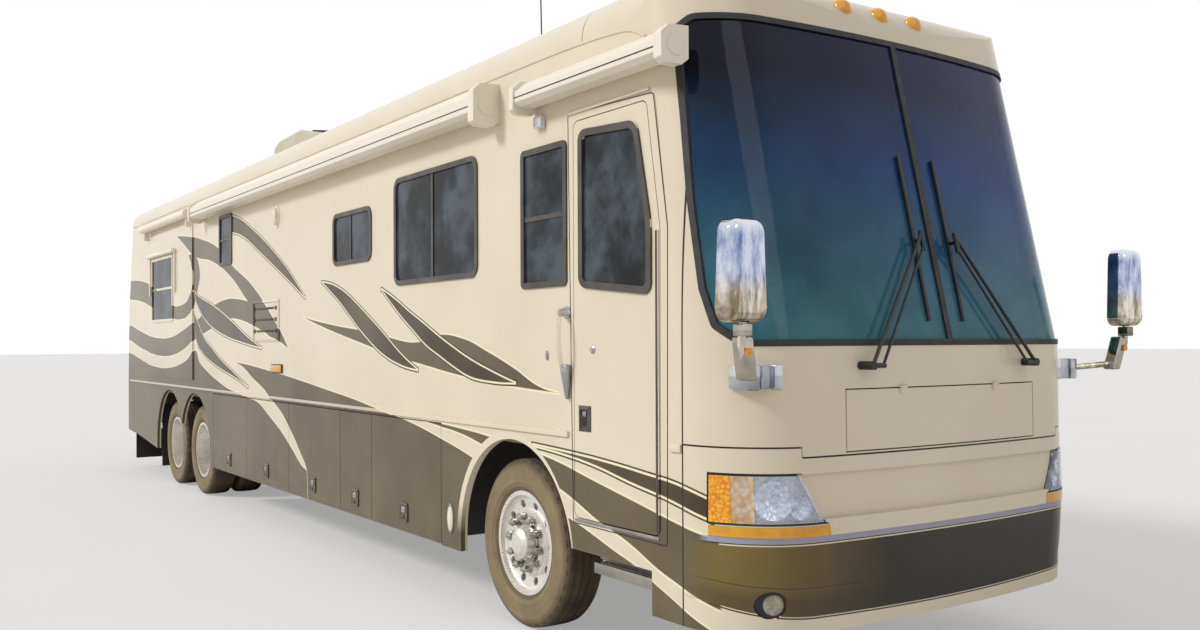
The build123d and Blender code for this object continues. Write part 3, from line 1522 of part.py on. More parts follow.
blade_r = 10
blade_out = blade_r + 0.8 - screen_pane_depth
blade_y, blade_low_z, blade_high_z, blade_hold_z = 130, 1760, 2580, 2150
wiper_out, wiper_boss_r, wiper_link_r = 52, 20, 12
boss_rear, boss_front, arm_out = 60, 62, 50
wiper_solids = []
for side in (-1, 1):
    y = side * blade_y
    pivot = off_screen(side * wiper_pivot_y, wiper_pivot_z, 0)
    knee = pivot + Vector(arm_out, 0, 0)
    # Rods ahead of the screen: start, end, radius
    wiper_rods = [
        (knee, off_screen(y, blade_hold_z + 30, wiper_out), 9),
        (pivot + Vector(arm_out, -side * 70, 0), off_screen(y, blade_hold_z - 30, wiper_out), 7),
        (pivot + Vector(arm_out, -side * 80, 0), knee, wiper_link_r),
        (off_screen(y, blade_low_z, blade_out), off_screen(y, blade_high_z, blade_out), blade_r),
        (off_screen(y, blade_hold_z - 50, wiper_out), off_screen(y, blade_hold_z + 50, wiper_out), wiper_link_r),
        (off_screen(y, blade_hold_z, wiper_out), off_screen(y, blade_hold_z, blade_out), 9),
    ]
    with BuildPart() as wiper:
        add(rod(pivot - Vector(boss_rear, 0, 0), pivot + Vector(boss_front, 0, 0), wiper_boss_r))
        add(coach_form(-fit), mode=Mode.SUBTRACT)
        for start, end, radius in wiper_rods:
            add(rod(start, end, radius))
    wiper_solids.append(wiper.part)
with BuildPart() as wipers:
    for solid in wiper_solids:
        add(solid)
wipers.part.label = "wipers"
export_step(wipers.part, "parts/wipers.step")

# Rooftop air conditioner: a shroud tapering to the front
unit_side_view = [
    (-5964, 3380),
    (-5964, 3745),
    (-5830, 3792),
    (-5197, 3810),
    (-4580, 3684),
    (-4540, 3640),
    (-4540, 3380),
]
unit_y_low, unit_y_high, unit_edge_r = -700, 50, 24
with BuildPart() as roof_unit:
    add(side_prism(unit_side_view, unit_y_low, unit_y_high))
    add(coach_form(-fit), mode=Mode.SUBTRACT)
    top_edges = [e for e in roof_unit.edges().filter_by(Axis.X, tolerance=25) if e.center().Z > 3700]
    fillet(top_edges, unit_edge_r)
roof_unit.part.label = "roof_unit"
export_step(roof_unit.part, "parts/roof_unit.step")
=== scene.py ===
import math

import bpy
from mathutils import Matrix, Vector


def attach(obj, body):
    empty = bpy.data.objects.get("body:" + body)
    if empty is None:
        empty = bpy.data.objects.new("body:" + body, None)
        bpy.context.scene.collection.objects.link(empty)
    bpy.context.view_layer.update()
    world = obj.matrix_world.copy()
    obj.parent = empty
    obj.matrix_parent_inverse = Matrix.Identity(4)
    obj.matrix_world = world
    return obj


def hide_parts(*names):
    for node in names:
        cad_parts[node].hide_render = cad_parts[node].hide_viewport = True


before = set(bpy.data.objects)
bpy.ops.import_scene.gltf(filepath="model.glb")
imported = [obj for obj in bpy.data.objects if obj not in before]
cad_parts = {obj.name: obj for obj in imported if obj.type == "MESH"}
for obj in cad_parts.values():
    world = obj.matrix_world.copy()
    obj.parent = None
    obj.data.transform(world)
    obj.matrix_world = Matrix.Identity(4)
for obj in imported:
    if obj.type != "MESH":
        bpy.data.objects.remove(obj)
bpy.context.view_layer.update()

# Metres. Places along the coach are given ahead of its front axle, and colours in a paint shop's 0-255 shades.
FRONT_AXLE = 4.2
SIDE = 1.28
# The right wall's face, 0.3 mm off the solid
WALL = -1.2803
TAIL_CORNER = 0.18
WHEEL_HEIGHT = 0.492
ARCH_X, ARCH_Z, ARCH_RADIUS = 0.038, 0.47, 0.635
NOSE_JOINT, ROOF_JOINT = 1.6, 0.786
# Wheel: how far it stands ahead of the front axle, and its middle's distance from the centreline
WHEELS = {"front": (0.0, 1.06), "drive": (-6.94, 1.07), "tag": (-8.08, 1.07)}

CREAM = (226, 215, 192)
CREAM_SHADOW = (221, 209, 185)
TAUPE = (108, 98, 75)
TAUPE_DEEP = (94, 84, 62)
BARK = (68, 56, 38)
PIN_LIGHT = (240, 234, 196)
PIN_DARK = (70, 62, 40)
BRONZE = (124, 104, 54)
# the bronze band's painted shade: across the front, under its crease and along it
BRONZE_SHADE = (46, 43, 37)
SEAM_DARK = (52, 45, 34)

# ---------------------------------------------------------------- finishes


def shade(red, green, blue):
    """A 0-255 shade as the renderer's linear colour."""
    linear = [c / 255 / 12.92 if c < 11 else ((c / 255 + 0.055) / 1.055) ** 2.4 for c in (red, green, blue)]
    return (*linear, 1.0)


class Value:
    """What a finish's nodes work out for each spot: a number, or a colour."""

    def __init__(self, finish, socket):
        self.finish, self.socket = finish, socket

    def math(self, operation, first, second=0.0, third=0.0, clamp=False):
        return self.finish.node("Math", {0: first, 1: second, 2: third}, operation=operation, use_clamp=clamp)

    def __add__(self, other):
        return self.math("ADD", self, other)

    def __sub__(self, other):
        return self.math("SUBTRACT", self, other)

    def __rsub__(self, other):
        return self.math("SUBTRACT", other, self)

    def __mul__(self, other):
        return self.math("MULTIPLY", self, other)

    def __abs__(self):
        return self.math("ABSOLUTE", self)

    def scaled(self, scale, offset):
        return self.math("MULTIPLY_ADD", self, scale, offset)

    def span(self, low, high, from_value=0.0, to_value=1.0, smooth=False):
        """The place between low and high, as a share from from_value to to_value, held at both ends."""
        return self.finish.node(
            "MapRange",
            {"Value": self, "From Min": low, "From Max": high, "To Min": from_value, "To Max": to_value},
            interpolation_type="SMOOTHSTEP" if smooth else "LINEAR",
        )

    def until(self, core, edge, full=1.0):
        """full up to core, and nothing past edge."""
        return self.span(core, edge, full, 0.0)

    def mix(self, under, over):
        """From under to over by this share; each is a value or a shade."""
        shades = [shade(*side) if isinstance(side, tuple) else side for side in (under, over)]
        return self.finish.node("Mix", {"Factor": self, 6: shades[0], 7: shades[1]}, 2, data_type="RGBA")


def least(first, *others):
    for other in others:
        first = first.math("MINIMUM", first, other)
    return first


def most(first, *others):
    for other in others:
        first = first.math("MAXIMUM", first, other)
    return first


def reach(across, up):
    """The distance with these two legs."""
    return across.math("SQRT", across * across + up * up)


class Finish:
    """One finish's node tree."""

    def __init__(self, name):
        self.material = bpy.data.materials.new(name)
        self.material.use_nodes = True
        self.tree = self.material.node_tree
        self.surface = self.tree.nodes["Principled BSDF"]
        self.spot = self.node("TexCoord", output="Object")
        split = self.node("SeparateXYZ", {0: self.spot}).socket.node
        self.x, self.y, self.z = (Value(self, socket) for socket in split.outputs)

    def node(self, kind, inputs=None, output=0, **settings):
        """A new node's output."""
        made = self.tree.nodes.new("ShaderNode" + kind)
        for name, value in settings.items():
            setattr(made, name, value)
        for key, value in (inputs or {}).items():
            self.put(made.inputs[key], value)
        return Value(self, made.outputs[output])

    def put(self, socket, value):
        if isinstance(value, Value):
            self.tree.links.new(value.socket, socket)
        else:
            socket.default_value = value

    def noise(self, scale, detail=3.0, roughness=0.5, stretch=None):
        spot = self.node("Mapping", {"Vector": self.spot, "Scale": stretch}) if stretch else self.spot
        return self.node("TexNoise", {"Vector": spot, "Scale": scale, "Detail": detail, "Roughness": roughness})

    def cloud(self, low, high, *noise, smooth=False):
        """Noise as a share, from nothing at low to full at high."""
        return self.noise(*noise).span(low, high, smooth=smooth)

    def rough(self, low, high, *noise):
        self.set(Roughness=self.noise(*noise).span(0.25, 0.75, low, high))

    def bump(self, height, strength, distance=0.001):
        self.set(Normal=self.node("Bump", {"Height": height, "Strength": strength, "Distance": distance}))

    def set(self, **sockets):
        for name, value in sockets.items():
            self.put(self.surface.inputs[name.replace("_", " ")], value)

    def gloss(self, specular, coat):
        self.set(Specular_IOR_Level=specular, Coat_Weight=coat, Coat_Roughness=0.04)

    def colour(self, value):
        self.set(Base_Color=value)


def worn(name, light, dark, scale, low, high, metallic=0.0, bump=0.0, fine=0.0, coat=0.0):
    """A plain finish that varies a little in colour, gloss and surface, as a used one does."""
    finish = Finish(name)
    finish.colour(finish.cloud(0.3, 0.7, scale, 4.0, 0.6).mix(dark, light))
    finish.rough(low, high, scale * 2.7)
    finish.set(Metallic=metallic)
    if coat:
        finish.set(Coat_Weight=coat, Coat_Roughness=0.05)
    if bump:
        finish.bump(finish.noise(fine or scale * 12, 2.0), bump, 0.0015)
    return finish.material


# Paint lines: place ahead of the front axle and height, traced once along each edge of a painted leaf.
# Leaf: upper edge, lower edge
TAUPE_LEAVES = [
    (  # long arc
        [(-7.66, 2.911), (-7.17, 2.868), (-6.69, 2.803), (-5.95, 2.638), (-5.49, 2.439), (-4.89, 2.229),
         (-4.41, 1.996), (-4.03, 1.772), (-3.83, 1.62)],
        [(-7.66, 2.911), (-7.32, 2.785), (-6.88, 2.624), (-6.24, 2.533), (-5.57, 2.341), (-5.0, 2.073), (-4.7, 1.93),
         (-4.41, 1.755), (-4.09, 1.691), (-3.83, 1.62)],
    ),
    (  # upper ribbon
        [(-11.0, 2.53), (-10.11, 2.518), (-9.83, 2.504), (-9.35, 2.46), (-8.84, 2.37), (-8.36, 2.251), (-7.8, 2.109),
         (-7.48, 2.107), (-7.18, 2.155), (-6.98, 2.26), (-6.79, 2.267)],
        [(-11.0, 2.28), (-10.18, 2.264), (-9.62, 2.224), (-9.1, 2.154), (-8.48, 2.059), (-7.8, 1.958), (-7.48, 1.947),
         (-7.18, 1.979), (-6.98, 2.059), (-6.79, 2.267)],
    ),
    (  # lower ribbon
        [(-11.0, 1.93), (-10.26, 1.918), (-9.76, 1.85), (-9.23, 1.785), (-8.61, 1.738), (-7.92, 1.747),
         (-7.38, 1.822), (-6.88, 1.917), (-6.26, 2.05), (-5.65, 2.114), (-5.34, 2.103), (-5.0, 2.069), (-4.68, 2.02),
         (-4.41, 1.95), (-4.09, 1.75), (-3.9, 1.66)],
        [(-11.0, 1.73), (-10.26, 1.716), (-9.77, 1.638), (-9.23, 1.574), (-8.61, 1.526), (-7.92, 1.531), (-7.38, 1.6),
         (-6.89, 1.715), (-6.17, 1.836), (-5.69, 1.913), (-5.41, 1.912), (-4.75, 1.823), (-4.41, 1.755),
         (-4.09, 1.691), (-3.9, 1.64)],
    ),
    (  # middle blade
        [(-3.44, 1.881), (-3.06, 1.836), (-2.66, 1.796), (-2.19, 1.757), (-1.71, 1.703), (-1.2, 1.668),
         (-0.93, 1.713), (-0.54, 1.684), (-0.26, 1.612), (0.08, 1.51), (0.332, 1.42), (0.538, 1.389)],
        [(-3.44, 1.881), (-3.06, 1.808), (-2.66, 1.739), (-2.2, 1.666), (-1.58, 1.569), (-1.2, 1.526), (-0.54, 1.453),
         (-0.1, 1.42), (0.538, 1.389)],
    ),
    (  # door band
        [(0.2, 1.06), (0.535, 1.017), (0.843, 0.957), (1.24, 0.882), (1.604, 0.813), (1.9, 0.762)],
        [(0.2, 0.93), (0.511, 0.886), (0.655, 0.845), (0.911, 0.753), (1.176, 0.679), (1.42, 0.586), (1.602, 0.533),
         (1.9, 0.43)],
    ),
    (  # belt leaf
        [(-1.15, 1.15), (-0.9, 1.142), (-0.605, 1.127), (-0.249, 1.103), (0.1, 1.06)],
        [(-1.15, 1.15), (-0.9, 1.125), (-0.605, 1.098), (-0.365, 1.058), (0.1, 0.95)],
    ),
]
BARK_LEAVES = [
    (  # branch leaf
        [(-6.98, 2.25), (-6.74, 2.177), (-6.24, 2.074), (-5.81, 1.967), (-5.42, 1.855), (-5.04, 1.739),
         (-4.58, 1.623)],
        [(-6.98, 2.25), (-6.88, 2.144), (-6.69, 2.013), (-6.42, 1.896), (-6.07, 1.806), (-5.65, 1.732), (-5.19, 1.68),
         (-4.58, 1.623)],
    ),
    (  # rear leaf
        [(-6.96, 2.007), (-6.79, 1.89), (-6.56, 1.738), (-6.24, 1.615), (-5.9, 1.498), (-5.5, 1.388), (-4.99, 1.249)],
        [(-6.96, 2.007), (-6.93, 1.842), (-6.84, 1.69), (-6.6, 1.565), (-6.24, 1.47), (-5.82, 1.394), (-5.42, 1.333),
         (-4.99, 1.249)],
    ),
    (  # high leaf
        [(-5.5, 2.935), (-5.18, 2.867), (-4.81, 2.735), (-4.4, 2.573), (-4.02, 2.401), (-3.72, 2.243),
         (-3.41, 2.048)],
        [(-5.5, 2.775), (-5.1, 2.693), (-4.68, 2.54), (-4.34, 2.412), (-4.02, 2.29), (-3.72, 2.174), (-3.41, 2.048)],
    ),
    (  # middle leaf
        [(-3.0, 2.155), (-2.75, 2.12), (-2.49, 2.046), (-2.24, 1.942), (-1.98, 1.825), (-1.73, 1.706), (-1.5, 1.593),
         (-1.22, 1.482)],
        [(-3.0, 2.155), (-2.8, 2.068), (-2.61, 1.979), (-2.42, 1.877), (-2.24, 1.778), (-2.06, 1.691), (-1.86, 1.608),
         (-1.58, 1.529), (-1.22, 1.482)],
    ),
    (  # front leaf
        [(-1.81, 2.047), (-1.57, 1.965), (-1.35, 1.876), (-1.13, 1.794), (-0.93, 1.716), (-0.7, 1.634),
         (-0.48, 1.563), (-0.14, 1.477), (0.08, 1.43)],
        [(-1.81, 2.047), (-1.65, 1.948), (-1.46, 1.839), (-1.27, 1.742), (-1.1, 1.656), (-0.89, 1.582), (-0.7, 1.518),
         (-0.48, 1.457), (-0.2, 1.432), (0.08, 1.43)],
    ),
    (  # door stripe
        [(0.276, 1.09), (0.701, 1.072), (0.914, 1.06), (1.303, 1.027), (1.606, 0.992), (1.78, 0.945)],
        [(0.276, 1.088), (0.626, 1.063), (0.913, 1.028), (1.178, 0.98), (1.538, 0.921), (1.78, 0.862)],
    ),
]
# The steep stem of the long arc: front edge and rear edge, as height and place ahead
STEM_FRONT = [(2.05, -6.98), (2.17, -6.88), (2.267, -6.79), (2.388, -6.71), (2.515, -6.74), (2.66, -6.9)]
STEM_REAR = [(2.05, -7.3), (2.155, -7.18), (2.252, -7.03), (2.377, -6.98), (2.505, -7.0), (2.641, -7.12),
             (2.66, -7.14)]
# The dark area along the skirt: its upper edge behind the cream blade, and in front of it; the blade's edge
SKIRT_EDGE_REAR = [
    (-11.0, 1.56), (-10.26, 1.545), (-9.77, 1.487), (-9.23, 1.419), (-8.61, 1.379), (-8.14, 1.378), (-7.59, 1.422),
    (-7.18, 1.497), (-6.89, 1.589), (-6.75, 1.477), (-6.42, 1.37), (-5.99, 1.272), (-5.58, 1.203), (-5.27, 1.18),
    (-4.97, 1.146), (-4.69, 1.115), (-4.35, 1.004), (-4.03, 0.889), (-3.73, 0.75), (-3.5, 0.633), (-3.36, 0.588),
    (-3.34, 0.1),
]
SKIRT_EDGE_FRONT = [
    (-5.42, 1.481), (-4.97, 1.46), (-4.41, 1.42), (-3.97, 1.388), (-3.44, 1.342), (-2.91, 1.292), (-2.42, 1.247),
    (-1.98, 1.197), (-1.39, 1.13), (-1.1, 1.086), (-0.86, 1.042), (-0.61, 0.995), (-0.4, 0.949), (0.2, 0.82),
    (0.594, 0.74), (0.77, 0.699), (1.045, 0.622), (1.275, 0.56), (1.372, 0.52), (1.579, 0.444), (1.9, 0.3),
]
BLADE_EDGE = [
    (-5.42, 1.481), (-5.12, 1.429), (-4.83, 1.336), (-4.55, 1.258), (-4.25, 1.144), (-4.03, 1.062), (-3.79, 0.925),
    (-3.56, 0.764), (-3.36, 0.588), (-3.33, 0.1), (1.9, 0.1),
]
LINE_HEIGHT = 4.0
# The stem is traced as place against height, so its scale is the coach's length
STEM_SCALE, STEM_OFFSET = 12.0, -12.0
# A painted edge's softness to either side
EDGE = 0.002


def line(finish, place, points, scale=LINE_HEIGHT, offset=0.0):
    """The painted edge's other coordinate at a place along it, smoothly through the traced points."""
    first, last = points[0][0], points[-1][0]
    made = finish.node("FloatCurve", {"Value": place.span(first, last)})
    mapping = made.socket.node.mapping
    curve = mapping.curves[0]
    for number, (along, value) in enumerate(points):
        spot = ((along - first) / (last - first), (value - offset) / scale)
        if number in (0, len(points) - 1):
            curve.points[0 if number == 0 else -1].location = spot
        else:
            curve.points.new(*spot)
    mapping.update()
    return made.scaled(scale, offset)


def leaf_depth(finish, place, across, upper, lower, *scale):
    """How far inside a leaf a spot lies, measured across it; below zero outside."""
    top = line(finish, place, upper, *scale)
    bottom = line(finish, place, lower, *scale)
    first, last = upper[0][0], upper[-1][0]
    return least(top - across, across - bottom, abs(last - first) / 2 - abs(place - (first + last) / 2))


def coach_paint(name):
    """The coach's paint: cream, with the dark skirt area and the leaves along both sides."""
    finish = Finish(name)
    x = finish.x - FRONT_AXLE
    z = finish.z

    def painted(colour, depth, over):
        return depth.span(-EDGE, EDGE).mix(colour, over)

    def pinstripe(colour, depth, centre, width, stripe):
        """A fine line that runs beside a leaf's edge."""
        return abs(depth - centre).until(width * 0.5, width).mix(colour, stripe)

    bands = most(
        *[leaf_depth(finish, x, z, *edges) for edges in TAUPE_LEAVES],
        leaf_depth(finish, z, x, STEM_FRONT, STEM_REAR, STEM_SCALE, STEM_OFFSET),
    )
    darks = most(*[leaf_depth(finish, x, z, *edges) for edges in BARK_LEAVES])
    rear_area = line(finish, x, SKIRT_EDGE_REAR) - z
    front_area = least(line(finish, x, SKIRT_EDGE_FRONT) - z, z - line(finish, x, BLADE_EDGE), x - BLADE_EDGE[0][0])
    skirt = most(rear_area, front_area)

    cloud = finish.cloud(0.35, 0.7, 1.3)
    cream = cloud.mix(CREAM_SHADOW, CREAM)
    taupe = cloud.mix(TAUPE_DEEP, TAUPE)
    bark = finish.cloud(0.4, 0.65, 0.9, 2.0).mix(BARK, TAUPE_DEEP)
    colour = painted(painted(cream, skirt, taupe), bands, taupe)
    colour = pinstripe(colour, bands, -0.006, 0.007, PIN_LIGHT)
    colour = painted(colour, darks, bark)
    colour = pinstripe(colour, darks, -0.004, 0.007, PIN_LIGHT)
    colour = pinstripe(colour, darks, -0.015, 0.006, PIN_DARK)
    colour = pinstripe(colour, skirt, -0.005, 0.006, PIN_LIGHT)
    # the joint between the side wall and the nose moulding
    joint = abs(x - NOSE_JOINT).until(0.0045, 0.006) * z.until(3.1, 3.13)
    return finish, x, z, joint.mix(colour, SEAM_DARK), cream


def body_paint():
    finish, x, z, colour, cream = coach_paint("coach_paint")
    # the belt moulding and the front arch's lip are painted light: partly their own pale colour, partly a painted
    # highlight where they catch the light
    out = abs(finish.y)
    belt = out.span(SIDE + 0.002, SIDE + 0.004) * z.span(1.166, 1.17) * z.until(1.19, 1.194) * 0.75
    colour = belt.mix(colour, CREAM)
    across, up = x - ARCH_X, z - ARCH_Z
    lip = (across.span(-0.3, 0.7, 0.05, 0.014) + ARCH_RADIUS - reach(across, up)).span(0.0, 0.003) * up.span(0.0, 0.2)
    colour = lip.mix(colour, CREAM)
    # outside the walls and on the tail, where the bands run on; the inner faces are lined in a plain pale vinyl
    corner = z.until(0.5, 0.62, 0.1) + z.span(1.1, 1.7, -10.356, -10.328)
    corner = corner + z.span(1.7, 2.3, 0.0, 0.072) + z.span(2.3, 3.5, 0.0, 0.272)
    past_corner = reach(most(corner - x, 0.0), most(out - (SIDE - TAIL_CORNER), 0.0))
    outside = past_corner.span(TAIL_CORNER - 0.03, TAIL_CORNER - 0.028)
    dust = z.until(0.36, 1.0, 0.35) * finish.noise(5.0, 5.0, 0.65).span(0.4, 0.75, 0.0, 0.6)
    colour = outside.mix(cream, dust.mix(colour, (150, 138, 112)))
    # the seam between the roof and the nose moulding
    seam = abs(x - ROOF_JOINT).until(0.0025, 0.004, 0.8) * z.span(3.226, 3.23)
    finish.colour(seam.mix(colour, SEAM_DARK))
    finish.rough(0.2, 0.23, 1.1)
    finish.gloss(0.2, 0.06)
    return finish.material


def nose_paint():
    """The front bumper moulding: cream above, the bronze band, a silver line between them and a cream lip."""
    finish, x, z, colour, cream = coach_paint("nose_paint")

    def level(rear, front):
        """A height that drops towards the nose."""
        return x.span(1.75, 2.1, rear, front)

    # the bronze band is painted darker across the front: a painted shade and reflection
    across = z.math("ADD", finish.y.span(-1.15, -0.35), finish.cloud(0.35, 0.7, 1.7) * 0.25, clamp=True)
    bronze = across.mix(BRONZE, BRONZE_SHADE)
    # below the crease the band is painted darker, a painted reflection of the ground, and a dark line along the crease
    # is painted shade
    crease = z - level(0.6, 0.56)
    bronze = crease.until(-0.06, 0.0, 0.45).mix(bronze, BRONZE_SHADE)
    bronze = abs(crease).until(0.001, 0.004, 0.7).mix(bronze, BRONZE_SHADE)
    colour = (x.span(1.62, 1.74) * x.span(1.8, 1.81)).mix(colour, cream)
    band = z.until(0.757, 0.759) * (z - level(0.5, 0.425)).span(-EDGE, EDGE) * x.span(1.61, 1.80)
    colour = band.mix(colour, bronze)
    silver = z.span(0.769, 0.771) * z.until(0.795, 0.797) * x.span(1.70, 1.76)
    colour = silver.mix(colour, (158, 156, 174))
    dark_line = z.span(0.7635, 0.765) * z.until(0.769, 0.7705) * x.span(1.70, 1.76)
    colour = dark_line.mix(colour, PIN_DARK)
    lip = abs(z - level(0.492, 0.417)).until(0.003, 0.004) * x.span(1.74, 1.76)
    colour = lip.mix(colour, PIN_DARK)
    # the joint under the nose panel, stepping up beside the lid
    out = abs(finish.y)
    joint = abs(z - out.span(0.953, 0.958, 1.147, 1.192)).until(0.0045, 0.006)
    colour = joint.mix(colour, SEAM_DARK)
    # the lamps' silvered pockets and the black gaskets round them
    pocket = least(out - z.scaled(0.549, 0.3848), z - 0.862, 1.066 - z, x - 1.758)
    colour = pocket.span(-0.013, -0.0115).mix(colour, (30, 27, 25))
    finish.colour(pocket.span(-0.001, 0.0).mix(colour, (238, 242, 248)))
    finish.rough(0.15, 0.18, 1.1)
    finish.gloss(0.3, 0.12)
    return finish.material


def window_tint_and_reflection(name, clear, smoke, alpha):
    """Tinted glass: mirror-smooth, dark, and see-through in part; its cloudy mottling from the one colour to the other
    is a painted reflection.
    """
    finish = Finish(name)
    finish.colour(finish.cloud(0.38, 0.66, 2.6, 6.0, 0.62, smooth=True).mix(smoke, clear))
    finish.rough(0.02, 0.04, 6.0)
    finish.set(Alpha=alpha, IOR=1.45, Specular_IOR_Level=0.22)
    return finish.material


def screen_tint_and_reflection():
    """The windscreen's tinted glass with a painted sky reflection: teal low down, deep blue higher up and bluer towards
    the left side; along the top runs a dark band.
    """
    finish = Finish("screen_tint_and_reflection")
    across = finish.y.span(-1.2, 0.9)
    cloud = finish.cloud(0.32, 0.68, 1.4, 4.0, 0.55)
    low = cloud.mix((40, 100, 116), (84, 142, 154))
    high = across.mix(cloud.mix((8, 46, 84), (26, 78, 120)), cloud.mix((8, 50, 122), (40, 96, 168)))
    band = across.mix((8, 14, 30), (40, 44, 92))
    finish.colour(finish.z.span(2.5, 2.95).mix(finish.z.span(1.75, 2.5).mix(low, high), band))
    finish.rough(0.02, 0.04, 5.0)
    finish.set(Alpha=0.7, Specular_IOR_Level=0.24)
    return finish.material


def tyre_rubber():
    """Tyre rubber: dusty brown sidewalls, a darker shoulder and tread."""
    finish = Finish("tyre_rubber")
    across = least(*[abs(finish.x - (FRONT_AXLE + axle_x)) for axle_x, _ in WHEELS.values()])
    radius = reach(across, finish.z - WHEEL_HEIGHT)
    dust = finish.cloud(0.3, 0.75, 7.0, 4.0, 0.6)
    wall = dust.mix((120, 106, 80), (146, 130, 98))
    shoulder = dust.mix((84, 73, 56), (112, 98, 74))
    tread = dust.mix((50, 45, 38), (96, 82, 62))
    colour = radius.span(0.484, 0.488).mix(radius.span(0.435, 0.470).mix(wall, shoulder), tread)
    finish.colour(abs(radius - 0.318).until(0.006, 0.012, 0.6).mix(colour, (78, 66, 48)))
    finish.rough(0.75, 0.95, 20.0)
    finish.bump(finish.noise(160.0, 2.0), 0.35, 0.001)
    return finish.material


def polished(name, light, dark, low=0.06, high=0.2, bump=0.0, metallic=1.0):
    """Polished metal with faint drawing marks."""
    finish = Finish(name)
    finish.colour(finish.cloud(0.3, 0.7, 4.0).mix(dark, light))
    finish.set(Metallic=metallic)
    finish.rough(low, high, 14.0, 2.0, 0.5, (1.0, 1.0, 6.0))
    if bump:
        finish.bump(finish.noise(60.0, 2.0, 0.5, (1.0, 1.0, 8.0)), bump, 0.0005)
    return finish.material


def faceted(name, light, dark, scale, metallic=0.0, alpha=1.0):
    """A lamp's reflector or lens, pressed in small facets."""
    finish = Finish(name)
    cells = finish.node("TexVoronoi", {"Vector": finish.spot, "Scale": scale}, "Distance")
    # each facet is painted lighter in its middle and darker at its edge: a painted highlight and shade
    finish.colour(cells.span(0.1, 0.8).mix(light, dark))
    finish.set(Metallic=metallic, Alpha=alpha)
    finish.rough(0.05, 0.12, 30.0)
    finish.bump(cells, 0.9, 0.004)
    return finish.material


def mirror_chrome_and_reflection():
    """The mirrors' chrome with a painted reflection: mottled bluish sky above, warm ground below and a lighter top as a
    painted highlight, with faint polishing marks.
    """
    finish = Finish("mirror_chrome_and_reflection")
    cloud = finish.cloud(0.4, 0.6, 7.0, 5.0, 0.65, (1.0, 2.2, 0.6))
    low = cloud.mix((132, 118, 92), (226, 218, 204))
    high = cloud.mix((104, 122, 172), (204, 209, 226))
    colour = finish.z.span(1.84, 1.98, smooth=True).mix(low, high)
    finish.colour(finish.z.span(2.1, 2.16).mix(colour, (222, 226, 236)))
    finish.set(Metallic=1.0)
    finish.rough(0.05, 0.09, 14.0)
    return finish.material


def seat_leather():
    finish = Finish("seat_leather")
    finish.colour(finish.cloud(0.3, 0.7, 3.0).mix((150, 132, 106), (182, 164, 134)))
    grain = {"Vector": finish.spot, "Scale": 220.0}
    finish.bump(finish.node("TexVoronoi", grain, "Distance", feature="DISTANCE_TO_EDGE"), 0.35, 0.0015)
    finish.rough(0.38, 0.55, 9.0)
    return finish.material


PAINT = body_paint()
NOSE = nose_paint()
SCREEN = screen_tint_and_reflection()
SMOKE_GLASS = window_tint_and_reflection("smoke_glass", (80, 90, 99), (22, 26, 29), 0.88)
RUBBER = worn("black_gasket", (34, 33, 32), (22, 22, 22), 6.0, 0.5, 0.7, bump=0.1, fine=180.0)
WINDOW_TRIM = worn("window_trim", (92, 87, 79), (64, 60, 54), 5.0, 0.3, 0.45, metallic=0.4, bump=0.05)
CHROME = polished("chrome", (190, 192, 196), (146, 149, 156), 0.04, 0.1)
NUT_CHROME = polished("nut_chrome", (196, 192, 184), (128, 123, 114), 0.08, 0.16)
RIM_METAL = polished("rim_metal", (240, 237, 230), (222, 218, 208), 0.26, 0.32, 0.0, 0.6)
TYRE = tyre_rubber()
BLACK_PAINT = worn("chassis_black", (44, 42, 40), (26, 25, 24), 3.0, 0.5, 0.75, bump=0.2, fine=40.0)
AWNING_SHELL = worn("awning_shell", (238, 230, 212), (233, 224, 204), 0.7, 0.34, 0.38)
FOG_LENS = worn("fog_lens", (176, 170, 150), (116, 110, 94), 34.0, 0.08, 0.16, coat=0.5, bump=0.2, fine=300.0)
MATT_BLACK = worn("wiper_black", (30, 30, 31), (18, 18, 19), 8.0, 0.35, 0.5, bump=0.1, fine=120.0)
FLOOR_BOARD = worn("floor_board", (150, 132, 106), (122, 104, 80), 2.5, 0.55, 0.75, bump=0.2, fine=60.0)
BAY_LINING = worn("bay_lining", (92, 90, 86), (70, 68, 64), 3.0, 0.6, 0.8, bump=0.3, fine=90.0)
ENGINE_IRON = worn("engine_iron", (120, 100, 40), (84, 72, 36), 4.0, 0.5, 0.75, bump=0.3, fine=50.0)
STEP_METAL = polished("step_metal", (190, 186, 178), (150, 146, 138), 0.22, 0.4, 0.25)
DASH_VINYL = worn("dash_vinyl", (112, 104, 90), (90, 83, 72), 4.0, 0.5, 0.68, bump=0.3, fine=150.0)
UNIT_SHELL = worn("unit_shell", (206, 196, 172), (186, 176, 152), 2.5, 0.35, 0.5, bump=0.08)
AMBER = worn("amber_lens", (232, 168, 36), (216, 144, 20), 18.0, 0.08, 0.16, coat=0.3, bump=0.3, fine=260.0)
RED_LENS = worn("red_lens", (168, 22, 18), (126, 12, 12), 30.0, 0.06, 0.14, coat=1.0, bump=0.4, fine=500.0)
CLEAR_LENS = worn("clear_lens", (226, 228, 230), (196, 200, 204), 30.0, 0.05, 0.12, coat=1.0, bump=0.3, fine=400.0)
LEATHER = seat_leather()
SIGNAL = faceted("signal_lens", (252, 196, 52), (226, 122, 6), 60.0)
PALE_LENS = worn("pale_lens", (240, 234, 212), (226, 216, 188), 14.0, 0.12, 0.22, coat=0.6, bump=0.2, fine=300.0)
MIRROR_GLASS = polished("mirror_glass", (150, 160, 172), (120, 130, 144), 0.02, 0.05, 0.01)
LAMP_COVER = faceted("lamp_cover", (255, 255, 255), (212, 222, 242), 70.0, alpha=0.42)
MARKER_COVER = faceted("marker_cover", (252, 242, 226), (242, 190, 124), 34.0, alpha=0.58)
